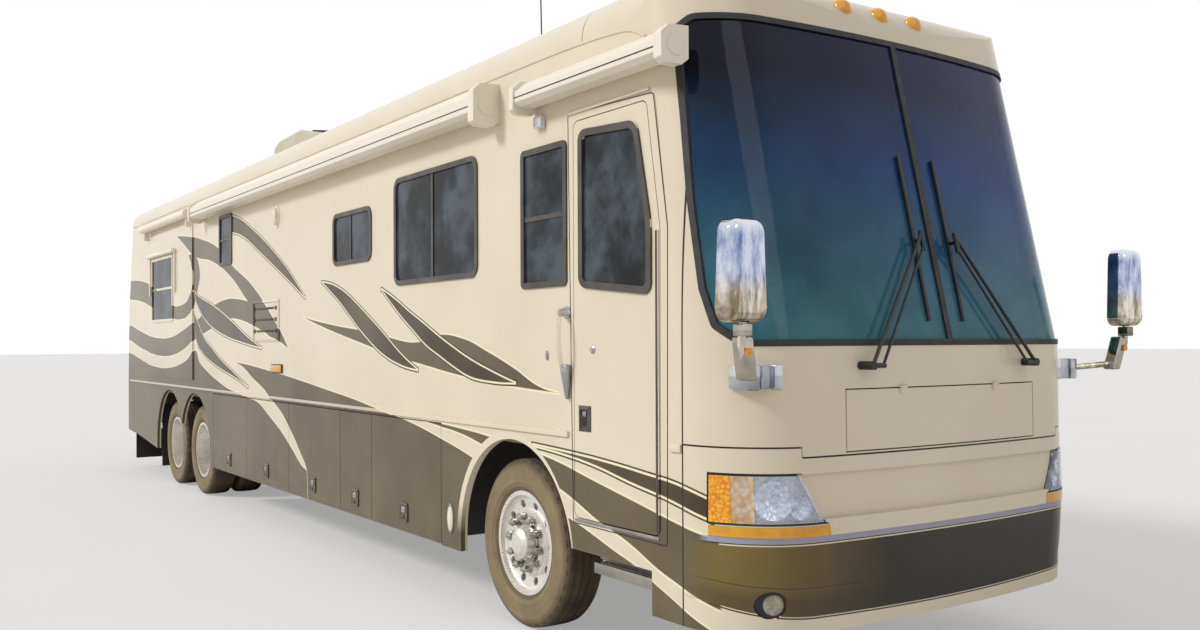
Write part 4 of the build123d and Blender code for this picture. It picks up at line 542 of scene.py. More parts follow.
ARM_CHROME = polished("arm_chrome", (206, 200, 188), (110, 100, 80), 0.06, 0.12)
FOOT_CHROME = polished("foot_chrome", (236, 238, 244), (120, 124, 136), 0.05, 0.1)
REFLECTOR = faceted("reflector", (250, 252, 255), (150, 168, 204), 45.0, 0.9)
MIRROR_CHROME_AND_REFLECTION = mirror_chrome_and_reflection()
CLEAR_BAR = window_tint_and_reflection("clear_bar", (236, 230, 212), (214, 206, 186), 0.34)
BLIND = worn("roller_blind", (236, 232, 224), (222, 216, 206), 3.0, 0.7, 0.85, bump=0.2, fine=200.0)

# The slot that goes with a finish where a piece names none
SLOTS = {finish.name: slot for slot, finishes in {
    "tyre_rubber": [TYRE], "cream_paint": [PAINT, BLIND], "black_rubber": [RUBBER], "dark_aluminium": [WINDOW_TRIM],
    "tinted_glass": [SMOKE_GLASS], "awning_shell": [AWNING_SHELL], "wiper_black": [MATT_BLACK],
    "step_aluminium": [STEP_METAL], "dash_plastic": [DASH_VINYL], "seat_cover": [LEATHER],
    "chrome_plate": [CHROME, NUT_CHROME, MIRROR_GLASS, ARM_CHROME, FOOT_CHROME, REFLECTOR],
    "lamp_lens": [FOG_LENS, AMBER, RED_LENS, CLEAR_LENS, SIGNAL, PALE_LENS, LAMP_COVER, MARKER_COVER, CLEAR_BAR],
}.items() for finish in finishes}
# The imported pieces' finishes, by the start of their names
NODE_FINISHES = (
    (PAINT, "wall_ bay_door_ roof front_cap rear_cap skirts entry_door slide_out engine_lid front_lid"),
    (TYRE, "tyre"), (RIM_METAL, "rim"), (NOSE, "front_bumper"), (SCREEN, "windshield_glass"),
    (SMOKE_GLASS, "side_glass door_glass slide_glass"), (RUBBER, "windshield_seal rock_guard"),
    (WINDOW_TRIM, "window_frames"), (CLEAR_LENS, "headlamps"), (RED_LENS, "tail_lamps"),
    (AWNING_SHELL, "awnings slide_topper"), (FLOOR_BOARD, "floor stairwell"), (BAY_LINING, "basement"),
    (BLACK_PAINT, "chassis_frame hitch_receiver front_axle drive_axle tag_axle knuckle_"),
    (ENGINE_IRON, "engine_block"), (STEP_METAL, "entry_step"), (DASH_VINYL, "dash"), (LEATHER, "seats"),
    (MIRROR_CHROME_AND_REFLECTION, "mirrors"), (MATT_BLACK, "wipers"), (UNIT_SHELL, "roof_unit"),
)
for node_name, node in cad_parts.items():
    for finish, starts in NODE_FINISHES:
        if node_name.startswith(tuple(starts.split())):
            node.data.materials.clear()
            node.data.materials.append(finish)

# ---------------------------------------------------------------- tools for shaping pieces
# Places go in ahead of the front axle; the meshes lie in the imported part's frame.


def placed(point):
    return (FRONT_AXLE + point[0], point[1], point[2])


def choose(*pieces):
    """Object mode, with these pieces chosen and the first one active."""
    if bpy.context.object and bpy.context.object.mode != "OBJECT":
        bpy.ops.object.mode_set(mode="OBJECT")
    bpy.ops.object.select_all(action="DESELECT")
    for piece in pieces:
        piece.select_set(True)
    if pieces:
        bpy.context.view_layer.objects.active = pieces[0]


def edit_mode(kind):
    """Edit mode, to work on all vertices, edges or faces."""
    bpy.context.tool_settings.mesh_select_mode = (kind == "VERT", kind == "EDGE", kind == "FACE")
    bpy.ops.object.mode_set(mode="EDIT")
    bpy.ops.mesh.select_all(action="SELECT")


def leave():
    bpy.ops.object.mode_set(mode="OBJECT")


def edit_all(kind, operation, **settings):
    """One edit of the whole active piece."""
    edit_mode(kind)
    operation(**settings)
    leave()


def edit_faces(piece, test, *edits):
    """Edits, each an operation and its settings, of the faces whose centre and normal pass the test."""
    leave()
    mesh = piece.data
    for item in (*mesh.vertices, *mesh.edges):
        item.select = False
    for face in mesh.polygons:
        face.select = bool(test(face.center, face.normal))
    bpy.context.tool_settings.mesh_select_mode = (False, False, True)
    bpy.ops.object.mode_set(mode="EDIT")
    for operation, settings in edits:
        operation(**settings)
    leave()


def recess(piece, test, rim, step, depth):
    """Sinks the middle of a face inside a rim."""
    inset = bpy.ops.mesh.inset
    edit_faces(piece, test, (inset, {"thickness": rim, "depth": 0}), (inset, {"thickness": step, "depth": -depth}))


def face_outwards():
    bpy.ops.mesh.select_all(action="SELECT")
    bpy.ops.mesh.normals_make_consistent(inside=False)
    leave()


def named(name):
    piece = bpy.context.object
    piece.name = piece.data.name = name
    return piece


def apply_place(piece):
    leave()
    choose(piece)
    bpy.ops.object.transform_apply(location=True, rotation=True, scale=True)
    return piece


def block(name, low, high, radius=0.0, segments=2):
    """A block between two corners, with its edges rounded."""
    choose()
    low, high = placed(low), placed(high)
    centre = [(a + b) / 2 for a, b in zip(low, high)]
    bpy.ops.mesh.primitive_cube_add(size=1, location=centre, scale=[b - a for a, b in zip(low, high)])
    piece = apply_place(named(name))
    if radius:
        edit_all("EDGE", bpy.ops.mesh.bevel, offset=radius, segments=segments, affect="EDGES")
    return piece


def drum(name, centre, radius, length, along="Y", sides=32):
    """A round piece about a line along one axis."""
    choose()
    turn = {"X": (0, math.pi / 2, 0), "Y": (math.pi / 2, 0, 0), "Z": (0, 0, 0)}[along]
    bpy.ops.mesh.primitive_cylinder_add(
        vertices=sides, radius=radius, depth=length, location=placed(centre), rotation=turn
    )
    return apply_place(named(name))


def outline(name, points):
    """A line of edges through the points, drawn by extruding one vertex."""
    choose()
    points = [placed(point) for point in points]
    bpy.ops.mesh.primitive_plane_add(size=0.01, location=points[0])
    piece = named(name)
    edit_mode("VERT")
    bpy.ops.mesh.merge(type="CENTER")
    for start, end in zip(points[:-1], points[1:]):
        step = [b - a for a, b in zip(start, end)]
        bpy.ops.mesh.extrude_region_move(TRANSFORM_OT_translate={"value": step})
    return apply_place(piece)


def turned(name, points, centre, axis, steps):
    """A closed outline spun right round an axis."""
    piece = outline(name, [*points, points[0]])
    edit_mode("VERT")
    bpy.ops.mesh.spin(steps=steps, angle=2 * math.pi, center=placed(centre), axis=axis)
    bpy.ops.mesh.select_all(action="SELECT")
    bpy.ops.mesh.remove_doubles(threshold=0.00005)
    face_outwards()
    return piece


def boss(name, x, y, z, section, steps):
    """A round piece on the right wall; its section gives distance out from y, and radius."""
    return turned(name, [(x + r, y - out, z) for out, r in section], (x, y, z), (0, 1, 0), steps)


def tube(name, points, radius, sides=10):
    """A round bar or wire along a smooth line through its bends."""
    curve = bpy.data.curves.new(name, "CURVE")
    curve.dimensions = "3D"
    curve.bevel_depth = radius
    curve.bevel_resolution = sides // 4
    curve.use_fill_caps = True
    spline = curve.splines.new("NURBS")
    spline.points.add(len(points) - 1)
    for spot, point in zip(spline.points, points):
        spot.co = (*placed(point), 1.0)
    spline.order_u = 3
    spline.use_endpoint_u = True
    spline.resolution_u = 6
    piece = bpy.data.objects.new(name, curve)
    bpy.context.scene.collection.objects.link(piece)
    choose(piece)
    bpy.ops.object.convert(target="MESH")
    return named(name)


def copied(piece, name, move=(0, 0, 0), turn=None):
    """A copy with its own mesh, moved and turned in the mesh."""
    other = piece.copy()
    other.data = piece.data.copy()
    other.name = other.data.name = name
    bpy.context.scene.collection.objects.link(other)
    if turn:
        other.data.transform(turn)
    other.data.transform(Matrix.Translation(move))
    return other


def joined(name, parts):
    choose(*parts)
    bpy.ops.object.join()
    return named(name)


def mirrored(piece, name):
    """The same piece on the coach's other side."""
    other = copied(piece, name, turn=Matrix.Scale(-1, 4, (0, 1, 0)))
    choose(other)
    edit_mode("FACE")
    face_outwards()
    return other


def fitted(piece, finish, body="coach", slot=None, smooth=35):
    """Gives a finished piece its material, shading and body; it looks up the slot but does not set it."""
    leave()
    if not piece.data.materials:
        piece.data.materials.append(finish)
    choose(piece)
    bpy.ops.object.shade_smooth_by_angle(angle=math.radians(smooth))
    slot = slot or SLOTS[finish.name]
    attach(piece, body)
    return piece


def both_sides(piece, finish, slot=None):
    """A piece on the right side, and the same on the left."""
    other = mirrored(piece, piece.name.replace("_right", "_left"))
    for side in (piece, other):
        fitted(side, finish, slot=slot)


# ---------------------------------------------------------------- tyres and wheels

TWIN_GAP = 0.33
# The tyre's outer section from bead to tread: distance from its middle, radius
WALL_SECTION = [
    (0.1034, 0.289), (0.1034, 0.3055), (0.116, 0.309), (0.127, 0.330), (0.1335, 0.350), (0.1356, 0.352),
    (0.1356, 0.357), (0.1345, 0.360), (0.1372, 0.386), (0.1368, 0.410), (0.1335, 0.432), (0.1342, 0.435),
    (0.1330, 0.439), (0.127, 0.457), (0.121, 0.469), (0.112, 0.480), (0.103, 0.4865),
]
TREAD_SECTION = [
    (0.081, 0.4895), (0.078, 0.478), (0.068, 0.478), (0.065, 0.4905), (0.032, 0.4915), (0.029, 0.479),
    (0.019, 0.479), (0.016, 0.4918),
]
LINER_SECTION = [(0.080, 0.462), (0.110, 0.440), (0.116, 0.360), (0.092, 0.289)]
SPIN_STEPS = 72
NUT_COUNT = 10
NUT_CIRCLE = 0.151
# A nut's cover, and the cover of the hub: distance out from the wheel's disc, radius
NUT_SECTION = [
    (0, 0), (0, 0.027), (0.008, 0.027), (0.011, 0.0195), (0.034, 0.0195), (0.037, 0.0235), (0.043, 0.0235),
    (0.067, 0.004), (0.068, 0),
]
HUB_RING = [(0.0, 0.101), (0.0, 0.125), (0.010, 0.125), (0.016, 0.118), (0.016, 0.101)]
# Each wheel's disc face, and where its hub's ring sits, from the centreline
DISC_FACES = {"front": (1.152, 1.1525), "drive": (0.927, 0.9275), "tag": (0.927, 0.9275)}


def tyre_model():
    half = WALL_SECTION + TREAD_SECTION
    section = half + [(-away, r) for away, r in reversed(half)]
    section += [(-away, r) for away, r in reversed(LINER_SECTION)] + LINER_SECTION
    tyre = turned("tyre", [(r, away, WHEEL_HEIGHT) for away, r in section], (0, 0, WHEEL_HEIGHT), (0, 1, 0), SPIN_STEPS)

    def shoulder_block(centre, _):
        across, up = centre.x - FRONT_AXLE, centre.z - WHEEL_HEIGHT
        turn = math.atan2(up, across) / (2 * math.pi) * SPIN_STEPS
        return 0.472 < math.hypot(across, up) < 0.486 and abs(centre.y) > 0.1 and math.floor(turn) % 2

    groove = {"thickness": 0.0035, "depth": -0.004, "use_individual": True}
    edit_faces(tyre, shoulder_block, (bpy.ops.mesh.inset, groove))
    return tyre


def place_tyres():
    model = tyre_model()
    for side, side_name in ((-1, "right"), (1, "left")):
        for wheel, (x, y) in WHEELS.items():
            kind = "tyres_drive" if wheel == "drive" else "tyre_" + wheel
            name = f"{kind}_{side_name}_rubber"
            tyre = copied(model, name, (x, side * y, 0))
            if wheel == "drive":
                tyre = joined(name, [tyre, copied(model, "inner", (x, side * (y - TWIN_GAP), 0))])
            fitted(tyre, TYRE, f"wheel_{wheel}_{side_name}")
            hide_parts(f"{kind}_{side_name}")
    bpy.data.objects.remove(model)


def nut_ring(nut, centre, start):
    """Copies of a nut round a wheel's middle."""
    nuts = []
    for number in range(NUT_COUNT):
        turn = Matrix.Translation(centre) @ Matrix.Rotation(start + number * 2 * math.pi / NUT_COUNT, 4, "Y")
        nuts.append(copied(nut, f"nuts_{number}", turn=turn @ Matrix.Translation([-c for c in centre])))
    bpy.data.objects.remove(nut)
    return joined("nuts", nuts)


def place_nuts():
    for wheel, (x, _) in WHEELS.items():
        face, ring_face = DISC_FACES[wheel]
        nut = boss("nut", x + NUT_CIRCLE, -face, WHEEL_HEIGHT, NUT_SECTION, 12)
        nuts = nut_ring(nut, placed((x, 0, WHEEL_HEIGHT)), math.radians(9))
        collar = boss("collar", x, -ring_face, WHEEL_HEIGHT, HUB_RING, 48)
        right = joined(f"wheel_nuts_{wheel}_right", [nuts, collar])
        left = mirrored(right, f"wheel_nuts_{wheel}_left")
        fitted(right, NUT_CHROME, f"wheel_{wheel}_right")
        fitted(left, NUT_CHROME, f"wheel_{wheel}_left")


place_tyres()
place_nuts()

# ---------------------------------------------------------------- lamps

# The nose's plan at lamp height: corner arc's centre from the front axle and from the centreline, radius
CORNER_X, CORNER_Y, CORNER_R = 1.6125, 0.83, 0.45
SIGNAL_Y, MARKER_Y, STRIP_TOP, GASKET_LOW, LENS_LOW = 1.2155, 1.150, 0.843, 0.8485, 0.8585
FOG_X, FOG_Y, FOG_Z = 1.988, 1.082, 0.497


def cut_from(node, name, cuts):
    """A part of a node's shape, on the inner side of each cutting plane."""
    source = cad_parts[node]
    mesh = source.data.copy()
    mesh.transform(source.matrix_world)
    mesh.materials.clear()
    piece = bpy.data.objects.new(name, mesh)
    bpy.context.scene.collection.objects.link(piece)
    choose(piece)
    bpy.ops.mesh.customdata_custom_splitnormals_clear()
    edit_mode("VERT")
    bpy.ops.mesh.remove_doubles(threshold=0.0001)
    for spot, direction in cuts:
        bpy.ops.mesh.select_all(action="SELECT")
        bpy.ops.mesh.bisect(plane_co=spot, plane_no=direction, use_fill=True, clear_outer=True)
    face_outwards()
    return named(name)


def outwards(y):
    """The nose corner's direction out at a distance from the centreline, on the right."""
    lean = math.asin((y - CORNER_Y) / CORNER_R)
    return Vector((math.cos(lean), -math.sin(lean), 0))


def round_lamp(name, face, out, section, steps, sink=0.0):
    """A round piece square to the nose's curve; its section gives distance out from the face, and radius."""
    points = [face + out * (along - sink) + Vector((0, 0, r)) for along, r in section]
    return turned(name, points, face, out, steps)


def bowl(name, y, z, radius, depth):
    """A round reflector under the lamp's cover."""
    out = outwards(y)
    section = [
        (-0.012, radius), (-0.015, radius * 0.93), (-0.024, radius * 0.74), (-0.034, radius * 0.5),
        (-0.041, radius * 0.26), (-0.042, 0.014), (-0.030, 0.013), (-0.024, 0.009), (-0.022, 0.0),
        (-depth, 0.0), (-depth, radius * 0.5), (-0.030, radius),
    ]
    return round_lamp(name, Vector((CORNER_X, -CORNER_Y, z)) + out * CORNER_R, out, section, 40)


def above(z):
    return ((0, 0, z), (0, 0, -1))


def below(z):
    return ((0, 0, z), (0, 0, 1))


def outside(y):
    """On the right, farther than this from the centreline."""
    return ((0, -y, 0), (0, 1, 0))


def inside(y):
    return ((0, -y, 0), (0, -1, 0))


def place_lamps():
    cover = cut_from(
        "headlamps", "headlamp_cover_right", [outside(0), above(LENS_LOW), inside(MARKER_Y - 0.003)]
    )
    for name, cuts, finish, slot in (
        ("lamp_divider", [above(STRIP_TOP + 0.001), below(GASKET_LOW)], PAINT, "bumper_paint"),
        ("lamp_gasket", [above(GASKET_LOW), below(LENS_LOW - 0.001)], RUBBER, None),
        ("amber_strip", [above(0.7), below(STRIP_TOP)], AMBER, None),
        ("signal_lens", [above(LENS_LOW), outside(SIGNAL_Y)], SIGNAL, None),
        ("marker_lens", [above(LENS_LOW), inside(SIGNAL_Y - 0.002), outside(MARKER_Y)], MARKER_COVER, None),
        ("fog_lamp", [below(0.7)], MATT_BLACK, None),
    ):
        both_sides(cut_from("headlamps", name + "_right", [outside(0), *cuts]), finish, slot)
    both_sides(cover, LAMP_COVER)
    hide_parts("headlamps")
    bowls = [
        bowl(f"bowl_{y}_{z}", y, z, radius, depth)
        for y, z, radius, depth in (
            (1.078, 0.957, 0.088, 0.052), (0.962, 0.922, 0.052, 0.052),
            (1.182, 0.912, 0.030, 0.05), (1.182, 1.008, 0.030, 0.05),
        )
    ]
    both_sides(joined("reflectors_right", bowls), REFLECTOR)
    section = [(-0.02, 0), (-0.02, 0.046), (-0.006, 0.046), (-0.004, 0.040), (0.0, 0.036), (0.002, 0.02), (0.003, 0)]
    face = Vector((FOG_X, -FOG_Y, FOG_Z))
    both_sides(round_lamp("fog_glass_right", face, outwards(FOG_Y), section, 32, 0.018), FOG_LENS)


place_lamps()

# ---------------------------------------------------------------- doors, latches and windows

DOOR = "entry_door_body"
# The joints between the bay doors, ahead of the front axle
BAY_JOINTS = {
    "right": [-6.184, -5.046, -3.823, -2.619, -2.006, -0.87],
    "left": [-6.184, -5.046, -3.823, -2.619, -0.87],
}
PANE_SHIFT = 0.018


def flat_band(name, corners, wall_y, width, depth, radius):
    """A flat band round an opening in a side wall, with rounded corners, standing off the wall by its depth."""
    piece = outline(name, [(x, wall_y, z) for x, z in corners])
    edit_mode("VERT")
    bpy.ops.mesh.edge_face_add()
    bpy.ops.mesh.select_all(action="SELECT")
    bpy.ops.mesh.bevel(offset=radius, segments=6, affect="VERTICES")
    edit_mode("FACE")
    bpy.ops.mesh.inset(thickness=width, depth=0)
    bpy.ops.mesh.delete(type="FACE")
    bpy.ops.mesh.select_all(action="SELECT")
    bpy.ops.mesh.extrude_region_move(TRANSFORM_OT_translate={"value": (0, depth, 0)})
    face_outwards()
    return piece


def faces_out(centre, normal):
    return normal.y < -0.9


def door_fittings():
    pane = [(0.755, 1.9478), (1.3765, 1.8855), (1.378, 2.2273), (1.2665, 2.740), (0.755, 2.771)]
    fitted(flat_band("door_window_trim", pane, -1.2915, 0.037, 0.055, 0.062), WINDOW_TRIM, DOOR)
    # the latch: a bezel over the recess, its dark slot and the lever
    bezel = block("door_latch_bezel", (0.744, -1.2835, 1.198), (0.856, WALL, 1.332), 0.0012)
    recess(bezel, faces_out, 0.020, 0.001, 0.002)
    fitted(bezel, WINDOW_TRIM, DOOR)
    slot = block("door_latch_slot", (0.778, -1.2822, 1.226), (0.822, -1.2812, 1.304), 0.0004)
    fitted(slot, MATT_BLACK, DOOR, "black_rubber")
    fitted(block("door_latch_lever", (0.784, -1.2865, 1.276), (0.816, -1.2822, 1.302), 0.0018), CHROME, DOOR)
    # chrome mounts of the grab handle, and its clear bar
    section = [(0, 0), (0, 0.034), (0.006, 0.034), (0.012, 0.026), (0.034, 0.022), (0.052, 0.020), (0.056, 0.0)]
    upper = boss("handle_mount_upper", 0.634, -1.2805, 1.82, section, 28)
    lower = block("handle_mount_lower", (0.62, -1.327, 1.36), (0.68, -1.2805, 1.545), 0.012, 3)
    taper = {"value": (0.25, 0.5, 1), "center_override": placed((0.65, -1.2805, 1.36))}
    edit_faces(lower, lambda centre, _: centre.z < 1.38, (bpy.ops.transform.resize, taper))
    fitted(joined("grab_handle_mounts", [upper, lower]), CHROME)
    bar = [
        (0.634, -1.33, 1.83), (0.66, -1.352, 1.78), (0.672, -1.362, 1.68), (0.664, -1.352, 1.58), (0.65, -1.322, 1.53)
    ]
    fitted(tube("grab_handle_bar", bar, 0.015, 16), CLEAR_BAR)
    # key locks beside and on the door
    middle = (0.433, -1.283, 1.59)
    oval = drum("lock_oval", middle, 0.012, 0.006, "Y", 24)
    edit_all("VERT", bpy.ops.transform.resize, value=(1, 1, 2.2), center_override=placed(middle))
    fitted(oval, CHROME)
    section = [(0, 0), (0, 0.02), (0.004, 0.02), (0.008, 0.014), (0.014, 0.012), (0.014, 0)]
    fitted(boss("door_lock", 0.875, -1.2802, 1.624, section, 24), CHROME, DOOR)
    fitted(block("door_edge_strip", (1.404, -1.2845, 0.762), (1.421, WALL, 2.19), 0.0012), WINDOW_TRIM, DOOR)
    corners = [(0.645, 2.873), (0.683, 0.712), (1.488, 0.704), (1.500, 2.201), (1.394, 2.851)]
    frame_line = flat_band("door_frame_line", corners, -1.2815, 0.005, 0.0011, 0.02)
    fitted(frame_line, MATT_BLACK, slot="black_rubber")
    fitted(block("belt_end_block", (1.512, -1.2915, 1.152), (1.594, WALL, 1.19), 0.003), PAINT)
    fitted(block("door_drip_rail", (0.665, -1.292, 2.862), (1.365, WALL, 2.876), 0.003), PAINT)
    fitted(block("door_sill", (0.705, -1.2845, 0.7225), (1.425, WALL, 0.7395), 0.0015), STEP_METAL)


def bay_latches():
    plate = block("plate", (-0.064, -1.2885, 0.447), (0.064, -1.2842, 0.553), 0.0018)
    recess(plate, lambda centre, normal: normal.y < -0.9 and abs(centre.x - FRONT_AXLE) < 0.05, 0.006, 0.0012, 0.003)
    lever = block("lever", (-0.026, -1.2915, 0.497), (0.026, -1.2856, 0.540), 0.0022)
    edit_faces(
        lever, lambda centre, normal: normal.z < -0.9 and abs(centre.x - FRONT_AXLE) < 0.02,
        (bpy.ops.transform.translate, {"value": (0, 0.003, 0)}),
    )
    keyhole = drum("keyhole", (0, -1.2865, 0.4675), 0.011, 0.004, "Y", 20)
    for side, joints in BAY_JOINTS.items():
        for number, (rear, front) in enumerate(zip(joints[:-1], joints[1:]), 1):
            for model, kind, finish, slot in (
                (plate, "latch_plate", PAINT, "skirt_paint"),
                (lever, "latch_lever", CHROME, None),
                (keyhole, "latch_keyhole", MATT_BLACK, "black_rubber"),
            ):
                name = f"{kind}_{side}_{number}"
                made = copied(model, name, ((rear + front) / 2, 0, 0))
                if side == "left":
                    made.name = "right_hand_latch"
                    right_hand, made = made, mirrored(made, name)
                    bpy.data.objects.remove(right_hand)
                fitted(made, finish, f"bay_door_{side}_{number}_body", slot)
    for model in (plate, lever, keyhole):
        bpy.data.objects.remove(model)


def flush_panes():
    """The windows' panes, set almost flush in their frames."""
    for node, name, cuts, shift, body in (
        ("side_glass", "window_panes_right", [outside(0)], -PANE_SHIFT, "coach"),
        ("side_glass", "window_panes_left", [inside(0)], PANE_SHIFT, "coach"),
        ("door_glass", "door_pane", [], -PANE_SHIFT, DOOR),
        ("slide_glass", "slide_pane", [], -PANE_SHIFT, "slide_room"),
    ):
        pane = cut_from(node, name, cuts)
        edit_all("VERT", bpy.ops.transform.translate, value=(0, shift, 0))
        fitted(pane, SMOKE_GLASS, body)
        if name != "window_panes_left":
            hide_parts(node)


door_fittings()
bay_latches()
flush_panes()

# ---------------------------------------------------------------- lamps and fittings on the walls and roof


def oval_lamp(name, x, z, width, height, out, rim_finish):
    """An oval lamp on both side walls: a rim and a domed lens that stands out by out."""
    rim = [(0, 0.80), (0, 1.0), (0.006, 1.0), (0.009, 0.93), (0.009, 0.80)]
    lens = [(0, 0), (0, 0.82), (0.008, 0.82), (out * 0.7, 0.70), (out * 0.93, 0.42), (out, 0)]
    for kind, section, finish in (("rim", rim, rim_finish), ("lens", lens, PALE_LENS)):
        piece = boss(f"{name}_{kind}", x, WALL, z, section, 36)
        choose(piece)
        edit_all(
            "VERT", bpy.ops.transform.resize, value=(width / 2, 1, height / 2), center_override=placed((x, WALL, z))
        )
        both_sides(piece, finish)


def wall_lamps():
    oval_lamp("porch_lamp_right", -4.11, 2.793, 0.12, 0.2, 0.046, AWNING_SHELL)
    oval_lamp("docking_lamp_right", -0.732, 0.549, 0.085, 0.192, 0.018, CHROME)
    both_sides(block("side_marker_base_right", (-4.275, -1.2862, 1.399), (-3.969, WALL, 1.480), 0.002), WINDOW_TRIM)
    both_sides(block("side_marker_lens_right", (-4.262, -1.300, 1.409), (-3.982, -1.2862, 1.470), 0.007, 3), AMBER)
    lamp = block("awning_lamp", (0.345, -1.315, 2.838), (0.425, WALL, 2.905), 0.006, 3)
    recess(lamp, lambda _, normal: normal.y < -0.95, 0.008, 0.001, 0.003)
    fitted(lamp, CLEAR_LENS)


def fridge_vent():
    panel = block("fridge_vent_panel", (-4.797, -1.286, 1.678), (-4.059, WALL, 2.06), 0.002)
    recess(panel, faces_out, 0.022, 0.001, 0.002)
    fitted(panel, PAINT)
    # the dark strips stand for the shade inside the vent's slots: painted shade; at each end of a slot sits a catch
    bars = []
    for z in (1.777, 1.882, 1.984):
        bars.append(block("slot", (-4.70, -1.2868, z - 0.010), (-4.20, -1.2838, z + 0.010), 0.001))
        for x in (-4.752, -4.148):
            bars.append(block("catch", (x - 0.024, -1.2885, z - 0.017), (x + 0.024, -1.2838, z + 0.017), 0.0015))
    fitted(joined("fridge_vent_slot_shade_and_catches", bars), MATT_BLACK, slot="black_rubber")


def roof_fittings():
    # the three lamps that stand close together on the brow
    dome = [(-0.012, 0), (-0.012, 0.052), (0.004, 0.052), (0.016, 0.047), (0.030, 0.034), (0.038, 0.018), (0.041, 0)]
    out, up = Vector((0.8, 0, 0.6)), Vector((-0.6, 0, 0.8))
    for number, y in enumerate((-0.29, -0.02, 0.25), 1):
        spot = Vector((1.672, y, 3.347))
        fitted(turned(f"brow_lamp_{number}", [spot + out * h + up * r for h, r in dome], spot, out, 28), AMBER)
    # the clearance lamps: place and height, and their places across
    for name, x, z, finish, places in (
        ("clearance_lamp", 1.47, 3.412, AMBER, (-0.95, 0.95)),
        ("tail_clearance_lamp", -10.16, 3.424, RED_LENS, (-0.95, -0.26, 0, 0.26, 0.95)),
    ):
        for number, y in enumerate(places, 1):
            base = z - (0.02 if abs(y) > 0.5 else 0.0)
            low, high = (x - 0.045, y - 0.021, base - 0.02), (x + 0.045, y + 0.021, base + 0.022)
            lamp = block(f"{name}_{number}", low, high, 0.014, 3)
            narrow = (bpy.ops.transform.resize, {"value": (0.6, 0.6, 1)})
            edit_faces(lamp, lambda _, normal: normal.z > 0.95, narrow)
            fitted(lamp, finish)
    mast = tube("mast", [(-0.23, -0.9, 3.44), (-0.232, -0.9, 3.6), (-0.24, -0.9, 3.79)], 0.0045, 8)
    section = [(3.43, 0), (3.43, 0.03), (3.455, 0.03), (3.475, 0.014), (3.5, 0.01), (3.5, 0)]
    foot = turned("foot", [(-0.23 + r, -0.9, z) for z, r in section], (-0.23, -0.9, 0), (0, 0, 1), 24)
    fitted(joined("whip_antenna_and_foot", [mast, foot]), MATT_BLACK)
    gutter = (
        (-10.0, 3.222), (-6.0, 3.222), (-0.6, 3.222), (0.573, 3.224), (0.95, 3.212), (1.167, 3.196), (1.257, 3.172),
        (1.33, 3.13),
    )
    both_sides(tube("gutter_right", [(x, -1.281, z) for x, z in gutter], 0.007, 10), PAINT)
    # the cooler's intake grille in its front slope and the vents along its flank
    slats = []
    for number in range(7):
        share = number / 6
        x, z = -5.05 + 0.38 * share, 3.783 - 0.0727 * share * 0.9
        slats.append(block("slat", (x, -0.62, z - 0.012), (x + 0.026, -0.03, z + 0.0065), 0.002))
    for number in range(8):
        x = -5.82 + 0.12 * number
        slats.append(block("vent", (x, -0.7035, 3.53), (x + 0.055, -0.698, 3.66), 0.002))
    fitted(joined("roof_unit_grilles", slats), MATT_BLACK)


def awning_details():
    seams = []
    for rear, front, z, reach in ((-6.488, -0.162, 3.045, 1.4425), (0.342, 1.598, 2.998, 1.4305)):
        seams.append(block("seam", (rear, -reach - 0.0012, z - 0.003), (front, -reach + 0.004, z + 0.003)))
    fitted(joined("awning_seams", seams), MATT_BLACK, slot="black_rubber")
    discs = []
    for x, out, y, z, r in (
        (-0.092, 1, -1.36, 3.05, 0.062), (-6.54, -1, -1.36, 3.06, 0.062),
        (1.658, 1, -1.355, 3.005, 0.050), (0.298, -1, -1.355, 3.005, 0.050),
    ):
        section = [(0, 0), (0, r), (0.004, r), (0.007, r * 0.85), (0.007, r * 0.35), (0.010, r * 0.3), (0.010, 0)]
        points = [(x + out * (along + 0.0003), y, z + radius) for along, radius in section]
        discs.append(turned("disc", points, (x, y, z), (1, 0, 0), 32))
    fitted(joined("awning_end_discs", discs), AWNING_SHELL)


def mirror_fittings():
    # Side, and each mirror head's middle from the centreline
    for side, side_name, middle in ((-1, "right", 1.385), (1, "left", 1.5)):
        y = side * middle
        glass = block(f"mirror_glass_{side_name}", (2.0805, y - 0.075, 1.792), (2.0845, y + 0.075, 2.118), 0.0016)
        fitted(glass, MIRROR_GLASS)
        # the arm's flat cover, its clamp under the head and the small lamp on its front
        arm_y = y - side * 0.022
        arm = block("arm", (2.066, arm_y - 0.034, 1.496), (2.138, arm_y + 0.034, 1.682), 0.012, 3)
        lean = {"value": (-0.02, -side * 0.04, 0)}
        edit_faces(arm, lambda centre, _: centre.z < 1.51, (bpy.ops.transform.translate, lean))
        clamp = block("clamp", (2.096, y - 0.028, 1.684), (2.16, y + 0.028, 1.736), 0.006, 3)
        fitted(joined(f"mirror_arm_cover_{side_name}", [arm, clamp]), ARM_CHROME)
        fitted(drum(f"mirror_lamp_{side_name}", (2.137, y - side * 0.024, 1.618), 0.019, 0.014, "X", 6), AMBER)
        foot_y = side * 1.1275
        foot = [block("foot", (1.852, foot_y - 0.094, 1.452), (1.986, foot_y + 0.094, 1.556), 0.005)]
        for wing_y in (foot_y - 0.072, foot_y + 0.072):
            foot.append(block("wing", (1.93, wing_y - 0.027, 1.448), (2.002, wing_y + 0.027, 1.56), 0.006, 3))
        foot.append(drum("waist", (1.972, foot_y, 1.504), 0.033, 0.1, "Z", 32))
        fitted(joined(f"mirror_foot_cover_{side_name}", foot), FOOT_CHROME)


